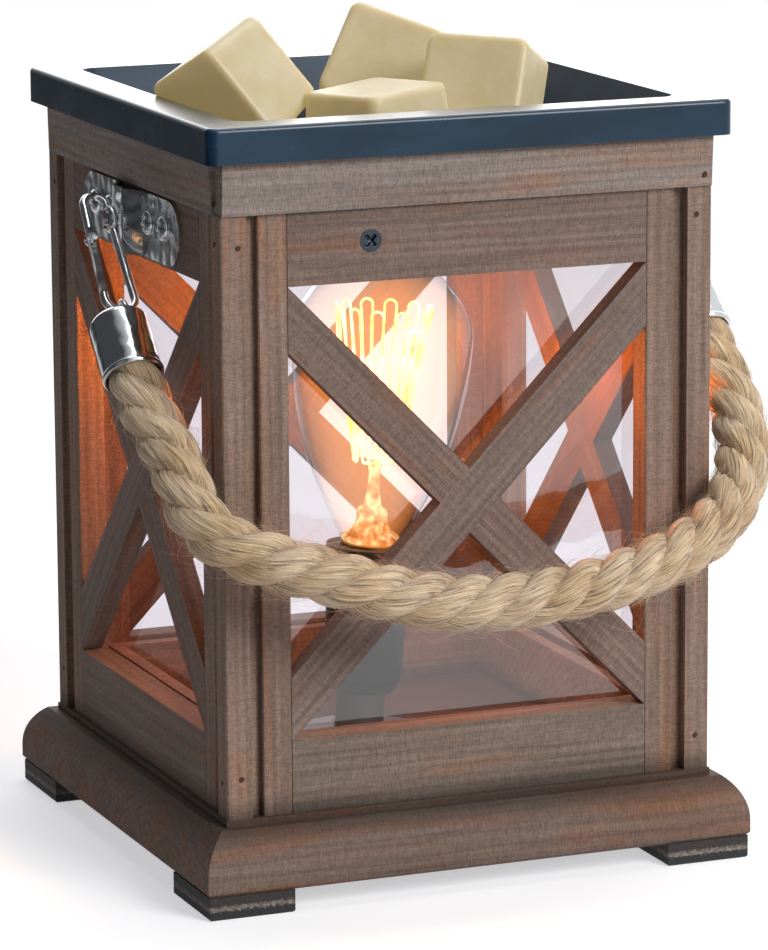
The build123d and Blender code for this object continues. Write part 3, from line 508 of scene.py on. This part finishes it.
class LANTERN_OT_dish(Operator):
    """Enamels the dish and casts the four melts that lie in it

    A melt is a block with its edges rounded: each point of a ball is stretched to the surface of
    a box; seen from above, the part past the corner's centre is laid on the corner's circle, and
    along the rims the same is done with the rounding. The box narrows upwards, and its top has
    sunk a little where the wax cooled last.
    """
    bl_idname = "lantern.dish"
    bl_label = "Dish and wax"

    def execute(self, context):
        dress(baked_enamel(), "wax_dish")
        wax = soy_wax()
        width, height, corner, rounding, taper = 31.6, 22.4, 3.6, 1.6, 0.05
        pitch, floor, lift = 30.0, 193.0, 0.6
        half = np.array([width, width, height]) / 2
        block = self.block(half, corner, rounding, taper)
        for side, share, turn in (("left", (-1.5167, -0.5133, 0.689), (-42.6, 51.7, 111.0)),
                                  ("back", (0.3133, 0.44, 0.668), (61.3, -22.0, -32.5)),
                                  ("right", (0.7084, -0.9389, 0.588), (60.3, -32.8, -19.9)),
                                  ("front", (-0.4155, -1.2146, 0.3895), (-0.2, -4.2, 22.4))):
            axes = np.eye(3)
            for name, angle in zip("XYZ", turn):
                axes = axes @ np.array(Matrix.Rotation(math.radians(angle), 3, name))
            middle = np.array(share) * pitch + np.array([0.0, 0.0, floor + lift])
            piece = joined_grids(f"cast_melt_{side}", [(block @ axes.T + middle) * MM])
            piece.data.materials.append(wax)
            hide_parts(f"wax_melt_{side}")
            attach(piece, "dish")
        return {"FINISHED"}

    def block(self, half, corner, rounding, taper):
        """The melt's skin as an array, in mm round its middle: see the formula above."""
        sink, sink_power, tiny = 0.7, 6, 1e-9
        rise = np.linspace(-math.pi / 2, math.pi / 2, 97)[:, None]
        turn = np.linspace(0.0, 2 * math.pi, 160, endpoint=False)
        ball = np.stack([np.cos(rise) * np.cos(turn), np.cos(rise) * np.sin(turn),
                         np.sin(rise) * np.ones_like(turn)], -1)
        box = ball / np.abs(ball).max(-1, keepdims=True) * half
        core = np.clip(box[..., :2], corner - half[:2], half[:2] - corner)
        away = box[..., :2] - core
        way = away / np.maximum(np.linalg.norm(away, axis=-1, keepdims=True), tiny)
        inset = corner - np.abs(away).max(-1)
        level = np.abs(box[..., 2])
        inner, upper = np.maximum(inset, rounding), np.minimum(level, half[2] - rounding)
        slant = np.maximum(np.hypot(inner - inset, level - upper), tiny)
        inset = inner - rounding * (inner - inset) / slant
        level = upper + rounding * (level - upper) / slant
        reach = np.where(np.abs(away).max(-1) > tiny, corner - inset, 0.0)
        skin = np.concatenate([core + way * reach[..., None],
                               (np.sign(box[..., 2]) * level)[..., None]], -1)
        up = skin[..., 2:] / half[2]
        sunk = np.prod(np.clip(1 - (skin[..., :2] / half[:2]) ** 2, 0, 1), -1, keepdims=True)
        skin[..., :2] *= 1 - taper * (up + 1)
        skin[..., 2:] -= sink * sunk * np.clip(up, 0, 1) ** sink_power
        return skin


# ---------------------------------------------------------------- glass and lamp
class LANTERN_OT_lamp(Operator):
    """Finishes the panes and the lit bulb with its filament, cap, socket, bracket and cord gland"""
    bl_idname = "lantern.lamp"
    bl_label = "Panes and lamp"

    def execute(self, context):
        lamp = context.scene.lantern_lamp
        for side, blend in (("front", 0.5), ("right", 0.2), ("back", 0.2), ("left", 0.1)):
            dress(clear_glass(f"{side} window glass", "#F6F4F6", blend), f"{side}_glass")
        envelope = self.envelope()
        envelope.data.materials.append(clear_glass("bulb glass", "#FDFCFA", 0.30, 1.1))
        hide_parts("bulb_glass")
        filament = self.filament()
        thread = glowing("lit carbon filament", "#FFB45C", "#FFCE84", 3.6, 7 * MM)
        filament.data.materials.append(thread)
        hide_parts("bulb_filament")
        collar = self.collar()
        # Painted light: the amber stem is no lamp; its glow and bright spots stand in for the
        # filament's light in the glass.
        amber = glowing("lit amber stem", "#C8621C", "#FFD79A", 1.0, 2.6 * MM)
        collar.data.materials.append(amber)
        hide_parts("bulb_stem")
        for piece in (envelope, filament, collar):
            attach(piece, "bulb")
        dress(plated("spun brass", "#C9A052", 0.28, 0.5), "bulb_cap")
        dress(moulded("black phenolic", "#17171A", 0.45), "lamp_socket", "cord_gland")
        dress(plated("zinc bracket", "#7C7A78", 0.4, 0.6), "socket_bracket")
        for name, kind, share, level in (("filament light", "SPOT", 0.75, 30.0),
                                         ("foot light", "POINT", 0.5, 42.0)):
            light = bpy.data.lights.new(name, kind)
            light.energy = share * lamp.glow
            light.color = lamp.colour
            light.shadow_soft_size = 10 * MM
            source = bpy.data.objects.new(name, light)
            source.location = lamp_point(0.0, 0.0, level)
            source.visible_camera = source.visible_glossy = source.visible_transmission = False
            context.scene.collection.objects.link(source)
            if kind == "SPOT":
                light.spot_size = math.pi
                light.spot_blend = 0.25
                source.rotation_euler = (math.pi, 0.0, 0.0)
        return {"FINISHED"}

    def envelope(self):
        """The blown envelope, turned about the lamp's axis.

        Its outline is an arc that drops from the belly to the neck, then a tighter arc for the
        shoulder and a wide one over the crown.
        """
        belly, radius, neck, flank = 60.0, 25.7, 8.6, 109.64
        shoulder, rise = 17.0, 22.0
        drop = ((radius - shoulder) ** 2 - (rise - shoulder) ** 2) / (2 * (rise - shoulder))
        turn = math.atan2(drop, radius - shoulder)
        neck_end = 1.2
        low = np.linspace(neck_end, belly, 40)
        a = np.linspace(0.0, turn, 9)[1:]
        b = np.linspace(turn, math.pi / 2, 24)[1:]
        r = np.concatenate([[0.0, neck], radius - flank + np.sqrt(flank ** 2 - (belly - low) ** 2),
                            radius - shoulder + shoulder * np.cos(a), (rise + drop) * np.cos(b)])
        h = np.concatenate([[0.0, 0.0], low, belly + shoulder * np.sin(a),
                            belly - drop + (rise + drop) * np.sin(b)])
        return turned("bulb_envelope", r, h, 96)

    def collar(self):
        """The lit stem: a skirt that flares down to the neck and a pinched rod up to the hooks.

        Its outline is a line of radii against heights, with a bead where the skirt meets the neck.
        """
        height = np.array([0.2, 0.3, 0.9, 1.9, 2.6, 3.4, 5.0, 7.0, 9.0, 9.8, 10.8, 14.0, 18.0,
                           21.0, 22.6, 23.6, 24.0])
        radius = np.array([0.0, 7.7, 8.5, 8.3, 7.2, 5.9, 4.8, 4.3, 4.5, 4.1, 2.6, 1.9, 1.6,
                           1.7, 2.1, 1.5, 0.0])
        return turned("bulb_stem_flare", radius, height, 64)

    def filament(self):
        """The carbon thread: hairpins round a cage, with a half circle at the top and the foot.

        Going round the lamp's axis, each hairpin climbs, turns over in a half circle, comes down
        and turns under into the next; the cage is wider at the top than at the foot.
        """
        pins, wire, hook_wire = 12, 0.38, 0.13
        top, foot, wide, narrow = 66.6, 25.0, 13.6, 6.8
        top_loop, foot_loop, sway, hook_sag = 1.6, 1.2, 0.5, 0.9
        step = 2 * math.pi / pins
        loop = np.linspace(0.0, math.pi, 9)
        climb = np.linspace(0.0, 1.0, 14)[1:-1]
        angle, height = [], []
        for pin in range(pins):
            middle = pin * step
            angle += [np.full(climb.size, middle - step / 4), middle - step / 4 * np.cos(loop),
                      np.full(climb.size, middle + step / 4),
                      middle + step / 2 - step / 4 * np.cos(loop)]
            height += [foot + (top - foot) * climb, top + top_loop * np.sin(loop),
                       top - (top - foot) * climb, foot - foot_loop * np.sin(loop)]
        angle, height = np.concatenate(angle), np.concatenate(height)
        reach = narrow + (wide - narrow) * np.clip((height - foot) / (top - foot), 0.0, 1.0)
        reach = reach + sway * np.sin(3 * angle + height / 9)
        thread = np.stack([reach * np.cos(angle), reach * np.sin(angle), height], -1)
        tubes = [tube(thread, wire, 8, True)]
        for pin in range(pins):
            for turn, level, hub, far in ((pin * step, top + 1.3, 1.9, wide),
                                          ((pin + 0.5) * step, foot - 1.0, 2.9, narrow)):
                share = np.linspace(0.0, 1.0, 7)
                out = hub + (far - hub) * share
                sag = level + hook_sag * np.sin(math.pi * share)
                tubes.append(tube(np.stack([out * math.cos(turn), out * math.sin(turn), sag], -1),
                                  hook_wire, 6, False))
        # Known fault: the hooks don't show. Their grids are smaller than the thread's, and
        # joined_grids takes grids of one size, so their faces lie on the thread's points.
        return joined_grids("carbon_filament", [lamp_frame(grid) for grid in tubes])


def lamp_frame(points):
    """Points given across and along the lamp's leaning axis, in millimetres, in space."""
    lean, neck_height = math.radians(4.2), 56.6
    base = np.array([-5.2, 0.0, 24.8])
    axes = np.array([[math.cos(lean), 0, -math.sin(lean)], [0, 1, 0],
                     [math.sin(lean), 0, math.cos(lean)]])
    return ((points + np.array([0.0, 0.0, neck_height])) @ axes + base) * MM


def lamp_point(x, y, height):
    """One such point, for a light."""
    return tuple(lamp_frame(np.array([x, y, height])))


def turned(name, radius, height, steps):
    """A surface turned about the lamp's axis from an outline of radii and heights."""
    angle = np.linspace(0.0, 2 * math.pi, steps, endpoint=False)
    grid = np.stack([radius[:, None] * np.cos(angle), radius[:, None] * np.sin(angle),
                     height[:, None] * np.ones_like(angle)], -1)
    return joined_grids(name, [lamp_frame(grid[::-1])])


def tube(points, radius, sides, closed):
    """A round wire carried along a line of points, as an array of its rings."""
    if closed:
        points = np.vstack([points, points[:1]])
    forward = unit(np.gradient(points, axis=0))
    if closed:
        forward[0] = forward[-1] = unit(points[1] - points[-2])
    across = unit(np.cross(forward, points * np.array([1.0, 1.0, 0.0]) + 1e-6))
    up = np.cross(across, forward)
    angle = np.linspace(0.0, 2 * math.pi, sides, endpoint=False)
    ring = (np.cos(angle)[None, :, None] * across[:, None]
            + np.sin(angle)[None, :, None] * up[:, None])
    rings = points[:, None] + radius * ring
    if not closed:
        ends = np.repeat(points[[0, -1], None], sides, 1)
        rings = np.concatenate([ends[:1], rings, ends[1:]])
    return rings


# ---------------------------------------------------------------- hardware
class LANTERN_OT_hardware(Operator):
    """Plates the eye straps, snap hooks, gates and ferrules, and zincs the screws"""
    bl_idname = "lantern.hardware"
    bl_label = "Plated hardware"

    def execute(self, context):
        chrome = plated("nickel chrome", "#D3D6D8", 0.08, 0.2, 1.0)
        for side in ("left", "right"):
            dress(chrome, f"{side}_eye_strap", f"{side}_snap_hook", f"{side}_hook_gate",
                  f"{side}_ferrule")
        zinc = plated("zinc plate", "#B4B6B4", 0.25, 0.45)
        dress(zinc, "base_screws")
        black = plated("black oxide", "#3B4249", 0.35, 0.5)
        counter = [(3.1, 0.0), (1.6, -1.5), (1.6, -12.5)]
        below_top, along_rail = 9 * MM, 28.5 * MM
        bracket_half_pitch, bracket_plate = 13 * MM, 1.5 * MM
        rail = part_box("front_top_rail")
        face, level = rail[0][1], rail[1][2] - below_top
        screws = [screw_grid((side * along_rail, -side * face, level), (0, side, 0), counter, 0.0)
                  for side in (-1, 1)]
        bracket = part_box("socket_bracket")
        middle = (bracket[0][0] + bracket[1][0]) / 2
        screws += [screw_grid((middle, side * bracket_half_pitch, bracket[0][2] + bracket_plate),
                              (0, 0, 1), counter, 0.0) for side in (-1, 1)]
        piece = joined_grids("countersunk_screw_set", screws)
        piece.data.materials.append(black)
        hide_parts("countersunk_screws")
        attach(piece, "lantern")
        pan, dome, strap_face = [(3.5, 0.4), (3.5, 0.0), (1.6, 0.0), (1.6, -8.0)], 1.7, 71.8 * MM
        ears = [screw_grid((side * strap_face, along * MM, level), (side, 0, 0), pan, dome)
                for side in (-1, 1) for along in (-28.0, -15.5, 15.5, 28.0)]
        piece = joined_grids("strap_screw_set", ears)
        piece.data.materials.append(chrome)
        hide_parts("strap_screws")
        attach(piece, "lantern")
        return {"FINISHED"}


def screw_grid(place, out, profile, dome):
    """One screw as a closed surface round the direction out, its head's middle at place.

    The head is a disc that rises by dome towards its middle, with a cross pressed into it: two
    crossed bars, deepest where they meet. Below its rim it follows the profile, pairs of radius
    and height in millimetres, and it closes at the tip.
    """
    rim, rim_height = profile[0]
    share = np.linspace(0.0, 1.0, 26)
    angle = np.linspace(0.0, 2 * math.pi, 97)[:-1]
    r = rim * share[:, None] * np.ones_like(angle)
    x, y = r * np.cos(angle), r * np.sin(angle)
    half_width, half_length, cross_depth = 0.14 * rim, 0.60 * rim, 1.15
    side_slope, end_slope, dome_power = 0.18, 0.5, 2.6

    def bar(across, along):
        """1 inside one bar of the cross, 0 outside it, with sloped walls between."""
        return (np.clip((half_width - np.abs(across)) / side_slope + 0.5, 0, 1)
                * np.clip((half_length - np.abs(along)) / end_slope + 0.5, 0, 1))

    flat = np.clip(1 - share[:, None] ** dome_power, 0, 1)
    crown = rim_height + (dome - rim_height) * np.sqrt(flat)
    cross = np.maximum(bar(x, y), bar(y, x)) * (1.1 - 0.6 * r / half_length)
    height = crown - cross_depth * cross
    lower = profile[1:] + [(0.0, profile[-1][1])]
    for radius, level in lower:
        r = np.vstack([r, np.full(len(angle), radius)])
        height = np.vstack([height, np.full(len(angle), level)])
    axis = Vector(out)
    side = axis.orthogonal().normalized()
    axes = np.array([side, axis.cross(side), axis])
    local = np.stack([r * np.cos(angle), r * np.sin(angle), height], -1) * MM
    return local @ axes + np.array(place)


class LANTERN_OT_nails(Operator):
    """Sets the brad nails of the posts and the apron: small sunk heads, each a shallow cup"""
    bl_idname = "lantern.nails"
    bl_label = "Brad nails"

    def execute(self, context):
        half = -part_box("post_front_left")[0][1]
        apron_lip = 1.1 * MM
        apron = -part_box("front_apron")[0][1] - apron_lip
        share = np.array([0.0, 0.45, 0.8, 1.0, 1.0])[:, None]
        rise = np.array([0.04, 0.04, 0.04, 0.03, -0.6])[:, None] * MM
        angle = np.linspace(0.0, 2 * math.pi, 21)[:-1]
        head = 0.8 * MM
        radius = head * (1 + 0.08 * np.sin(5 * angle) + 0.06 * np.sin(2 * angle))
        heads = []
        for turn in range(4):
            across = np.array([math.cos(turn * math.pi / 2), math.sin(turn * math.pi / 2), 0.0])
            out = np.array([across[1], -across[0], 0.0])
            for along, level, face in ((-67.4, 36.0, half), (-66.6, 180.4, half),
                                       (67.5, 34.5, half), (67.0, 181.2, half),
                                       (68.9, 192.2, apron)):
                middle = across * along * MM + np.array([0.0, 0.0, level * MM]) + out * face
                heads.append(middle + (share * radius * np.cos(angle))[..., None] * across
                             + (share * radius * np.sin(angle))[..., None] * np.array([0, 0, 1.0])
                             + (rise * np.ones_like(angle))[..., None] * out)
        piece = joined_grids("brad_nails", heads)
        piece.data.materials.append(plated("rusted brad", "#4A3B34", 0.6, 0.8))
        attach(piece, "lantern")
        return {"FINISHED"}


# ---------------------------------------------------------------- rope
def handle_point(x, reach, lift):
    """Place in space, from millimetres along the hinge line, out from it and over their plane."""
    rope = bpy.context.scene.lantern_rope
    lean = math.cos(rope.tilt), math.sin(rope.tilt)
    return (x * MM, -(reach * lean[0] + lift * lean[1]) * MM,
            rope.hinge_height - (reach * lean[1] - lift * lean[0]) * MM)


def rope_route():
    """The rope's line, a smooth curve through the handle's plane, as an array of points."""
    route = [(-84.6, 42.5, 0.0), (-85.02, 61.79, 0.0), (-81.4, 83.5, 2.2), (-81.0, 104.0, 1.2),
             (-71.1, 116.8, 4.1), (-52.4, 125.7, 4.9), (-32.0, 133.4, 2.5), (-11.2, 136.9, 0.5),
             (11.3, 136.7, 0.3), (32.3, 133.8, 1.0), (52.2, 127.5, 1.2), (69.5, 117.1, 0.6),
             (81.2, 101.6, 0.1), (86.0, 82.2, 0.4), (85.02, 61.79, 0.0), (84.6, 42.5, 0.0)]
    curve = bpy.data.curves.new("rope line", "CURVE")
    curve.dimensions = "3D"
    spline = curve.splines.new("NURBS")
    spline.points.add(len(route) - 1)
    for point, place in zip(spline.points, route):
        point.co = (*handle_point(*place), 1.0)
    spline.order_u = 3
    spline.use_endpoint_u = True
    spline.resolution_u = 24
    line = bpy.data.objects.new("rope line", curve)
    bpy.context.scene.collection.objects.link(line)
    mesh = bpy.data.meshes.new_from_object(line)
    points = np.empty(3 * len(mesh.vertices))
    mesh.vertices.foreach_get("co", points)
    bpy.data.objects.remove(line)
    return points.reshape(-1, 3)


def evenly(points, step):
    """The same line with its points a step apart, and their distances from the start."""
    gone = np.concatenate([[0.0], np.cumsum(np.linalg.norm(np.diff(points, axis=0), axis=1))])
    count = int(gone[-1] / step) + 1
    at = np.linspace(0.0, gone[-1], count)
    return np.stack([np.interp(at, gone, points[:, i]) for i in range(3)], -1), at


class LANTERN_OT_rope(Operator):
    """Lays three jute strands round the handle's line, with stray fibres over them

    A strand's centre goes round the line at a fixed distance, one turn per lay, right-handed. Its
    skin is a circle round that centre, whose radius rises over each yarn; the yarns turn back
    against the lay, so that they run nearly along the rope.
    """
    bl_idname = "lantern.rope"
    bl_label = "Jute rope"

    def execute(self, context):
        rope = context.scene.lantern_rope
        route = rope_route()
        line, at = evenly(route, 0.9 * MM)
        tangent = unit(np.gradient(line, axis=0))
        normal = np.array([0.0, -math.sin(rope.tilt), math.cos(rope.tilt)])
        side = np.cross(normal, tangent)
        from_end = np.minimum(at, at[-1] - at)
        squeeze, held, eased = 0.10, 10 * MM, 6 * MM
        grip = 1.0 - squeeze + squeeze * np.clip((from_end - held) / eased, 0.0, 1.0)
        centre_share, radius_share, back_twist, fibre_stretch = 0.235, 0.265, 0.27, 1.15
        offset = centre_share * rope.diameter * grip
        radius = radius_share * rope.diameter * grip
        around = np.linspace(0.0, 2 * math.pi, 49)
        skins, maps = [], []
        for strand in range(rope.strands):
            turn = 2 * math.pi * (strand / rope.strands + at / rope.lay)
            out = np.cos(turn)[:, None] * normal + np.sin(turn)[:, None] * side
            centre = line + offset[:, None] * out
            forward = unit(np.gradient(centre, axis=0))
            out = unit(out - np.sum(out * forward, 1, keepdims=True) * forward)
            across = np.cross(forward, out)
            angle = around[None, :] + math.pi
            yarn = angle - back_twist * at[:, None] / MM
            ridge = np.abs(np.cos(rope.yarns / 2 * yarn)) - 0.6
            wide = radius[:, None] + rope.yarn_relief * ridge
            skin = (centre[:, None] + wide[..., None]
                    * (np.cos(angle)[..., None] * out[:, None]
                       + np.sin(angle)[..., None] * across[:, None]))
            skins.append(skin)
            maps.append(np.stack([np.broadcast_to(at[:, None] * fibre_stretch, yarn.shape),
                                  yarn * radius_share * rope.diameter + 0.1 * strand], -1))
        piece = joined_grids("laid_rope", skins, maps)
        material = jute()
        piece.data.materials.append(material)
        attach(piece, "handle")
        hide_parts("rope_handle")
        hairs = self.fibres(rope, line, at, tangent, normal, side)
        hairs.data.materials.append(material)
        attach(hairs, "handle")
        return {"FINISHED"}

    def fibres(self, rope, line, at, tangent, normal, side):
        """Stray fibres: thin three-sided threads that leave the skin and bend back towards it."""
        rng = np.random.default_rng(7)
        count, steps = rope.hairs, 5
        bare_end, skin_share, thickness = 14 * MM, 0.43, 0.055 * MM
        first = np.searchsorted(at, bare_end)
        start = rng.integers(first, len(at) - first, count)
        angle = rng.uniform(0, 2 * math.pi, count)
        out = np.cos(angle)[:, None] * normal + np.sin(angle)[:, None] * side[start]
        across = np.cross(tangent[start], out)
        way = rng.choice([-1.0, 1.0], count)[:, None]
        length = rng.gamma(2.2, 1.6 * MM, count)[:, None] + 1.5 * MM
        lean = rng.normal(0, 0.45, count)[:, None]
        lift = rng.gamma(1.6, 0.11, count)[:, None]
        curl = rng.normal(0, 0.5, count)[:, None]
        t = np.linspace(0, 1, steps)
        root = line[start] + out * skin_share * rope.diameter
        heading = way * tangent[start] + lean * across
        run = [root + length * (s * heading * (1 - 0.25 * lift * s)
                                + lift * (2.2 * s - 1.1 * s * s) * out
                                + curl * s * s * 0.4 * across) for s in t]
        spine = np.stack(run, 1)
        thick = (thickness * (1 - 0.6 * t))[None, :, None, None]
        corner = np.arange(3) * 2 * math.pi / 3
        ring = (np.cos(corner)[None, None, :, None] * out[:, None, None]
                + np.sin(corner)[None, None, :, None] * across[:, None, None])
        skin = spine[:, :, None] + thick * ring
        index = np.arange(count * steps * 3).reshape(count, steps, 3)
        ahead = np.roll(index, -1, 2)
        quads = np.stack([index[:, :-1], ahead[:, :-1], ahead[:, 1:], index[:, 1:]], -1)
        uv = np.stack([np.broadcast_to(t[None, :, None] * 5 * MM, index.shape),
                       np.broadcast_to(rng.uniform(0, 0.2, count)[:, None, None], index.shape)], -1)
        return mesh_piece("stray_fibres", skin.reshape(-1, 3), quads.reshape(-1, 4),
                          uv.reshape(-1, 2))


# ---------------------------------------------------------------- stage
def soft_light(name, place, target, size, power):
    """A square white soft box that faces a point."""
    light = bpy.data.lights.new(name, "AREA")
    light.shape = "SQUARE"
    light.size = size
    light.energy = power
    source = bpy.data.objects.new(name, light)
    source.location = place
    source.rotation_euler = (Vector(target) - Vector(place)).to_track_quat("-Z", "Y").to_euler()
    bpy.context.scene.collection.objects.link(source)
    return source


def seen_ray(tree, place):
    """How much the white background counts: wholly where it is looked at, and in metal and glass
    only from X -0.45 rightwards; further left they mirror the dim air, as a grey card there would."""
    ray = add(tree, "ShaderNodeLightPath").outputs
    card = remapped(tree, part_of(tree, place, "X"), 0.0, 1.0, -0.45, 0.05)
    mirrored = calculated(tree, "MULTIPLY", ray["Is Glossy Ray"], card)
    either = calculated(tree, "MAXIMUM", ray["Is Camera Ray"], mirrored)
    return calculated(tree, "MAXIMUM", either, ray["Is Transmission Ray"])


class LANTERN_OT_stage(Operator):
    """Sets the floor, the background, the soft lights and the camera"""
    bl_idname = "lantern.stage"
    bl_label = "Stage"

    def execute(self, context):
        scene = context.scene
        settings = scene.lantern_camera
        reach = 4.0
        corners = reach * np.array([(-1, -1, 0), (-1, 1, 0), (1, 1, 0), (1, -1, 0)])
        floor = mesh_piece("studio_floor", corners, np.array([[0, 1, 2, 3]]))
        material, tree = new_material("studio paper")
        paper = add(tree, "ShaderNodeBsdfDiffuse", {"Color": linear("#D8D8DC")}).outputs[0]
        seen = add(tree, "ShaderNodeBsdfDiffuse", {"Color": grey(0.66)}).outputs[0]
        lift = add(tree, "ShaderNodeEmission", {"Color": linear("#FCFCFF"),
                                                "Strength": 0.55}).outputs[0]
        seen = add(tree, "ShaderNodeAddShader", {0: seen, 1: lift}).outputs[0]
        place = coordinate(tree)
        far = add(tree, "ShaderNodeVectorMath", {0: place}, operation="LENGTH").outputs["Value"]
        far = remapped(tree, far, 0.0, 1.0, 0.35, 1.1)
        white = add(tree, "ShaderNodeEmission", {"Color": grey(1.0), "Strength": 1.0}).outputs[0]
        seen = add(tree, "ShaderNodeMixShader", {"Fac": far, 1: seen, 2: white}).outputs[0]
        dark = add(tree, "ShaderNodeBsdfDiffuse", {"Color": grey(0.12)}).outputs[0]
        glossy = add(tree, "ShaderNodeLightPath").outputs["Is Glossy Ray"]
        paper = add(tree, "ShaderNodeMixShader", {"Fac": glossy, 1: paper, 2: dark}).outputs[0]
        floor.data.materials.append(finished(
            material, {"Fac": seen_ray(tree, place), 1: paper, 2: seen}, "ShaderNodeMixShader"))
        world = bpy.data.worlds.new("studio air")
        scene.world = world
        world.use_nodes = True
        tree = world.node_tree
        tree.nodes.clear()
        air = add(tree, "ShaderNodeBackground", {"Color": linear("#E4EAF2"),
                                                 "Strength": 0.085}).outputs[0]
        white = add(tree, "ShaderNodeBackground", {"Color": grey(1.0), "Strength": 1.0}).outputs[0]
        way = coordinate(tree, "Generated")
        sky = add(tree, "ShaderNodeMixShader", {"Fac": seen_ray(tree, way), 1: air, 2: white})
        add(tree, "ShaderNodeOutputWorld", {"Surface": sky.outputs[0]})
        middle = (0.0, 0.0, 0.1)
        soft_light("key", (0.75, -1.7, 1.1), middle, 0.9, 36.0)
        soft_light("fill", (-1.6, -0.9, 0.9), middle, 1.2, 0.8)
        soft_light("top", (0.3, 0.2, 1.8), middle, 1.2, 16.0)
        soft_light("back", (0.6, 2.2, 0.7), middle, 1.2, 20.0).visible_glossy = False
        # a white card behind the lantern, there only for what mirrors it: it lights nothing
        card = soft_light("mirrored card", (0.9, 2.4, 0.8), middle, 2.6, 42.0)
        card.visible_diffuse = card.visible_transmission = False
        data = bpy.data.cameras.new("camera")
        data.lens = settings.lens
        data.sensor_width = 36.0
        data.sensor_fit = "AUTO"
        camera = bpy.data.objects.new("camera", data)
        place, target = Vector(settings.place), Vector(settings.target)
        aim = (target - place).to_track_quat("-Z", "Y").to_matrix()
        camera.matrix_world = (Matrix.Translation(place)
                               @ (aim @ Matrix.Rotation(settings.roll, 3, "Z")).to_4x4())
        scene.collection.objects.link(camera)
        scene.camera = camera
        scene.view_settings.view_transform = "Standard"
        return {"FINISHED"}


# ---------------------------------------------------------------- panel
OPERATORS = (LANTERN_OT_wood, LANTERN_OT_dish, LANTERN_OT_lamp, LANTERN_OT_hardware,
             LANTERN_OT_nails, LANTERN_OT_rope, LANTERN_OT_stage)
SETTINGS = {"lantern_rope": RopeSettings, "lantern_wood": WoodSettings,
            "lantern_lamp": LampSettings, "lantern_camera": CameraSettings}


class LANTERN_PT_panel(Panel):
    bl_label = "Lantern"
    bl_idname = "LANTERN_PT_panel"
    bl_space_type = "VIEW_3D"
    bl_region_type = "UI"
    bl_category = "Lantern"

    def draw(self, context):
        layout = self.layout
        for operator in OPERATORS:
            layout.operator(operator.bl_idname)
        for name, group in SETTINGS.items():
            box = layout.box()
            for prop in group.__annotations__:
                box.prop(getattr(context.scene, name), prop)


def register():
    for item in (*SETTINGS.values(), *OPERATORS, LANTERN_PT_panel):
        bpy.utils.register_class(item)
    for name, group in SETTINGS.items():
        setattr(bpy.types.Scene, name, PointerProperty(type=group))


def unregister():
    for name in SETTINGS:
        delattr(bpy.types.Scene, name)
    for item in reversed((*SETTINGS.values(), *OPERATORS, LANTERN_PT_panel)):
        bpy.utils.unregister_class(item)


def main():
    register()
    for operator in OPERATORS:
        family, name = operator.bl_idname.split(".")
        getattr(getattr(bpy.ops, family), name)()


if __name__ == "__main__":
    main()
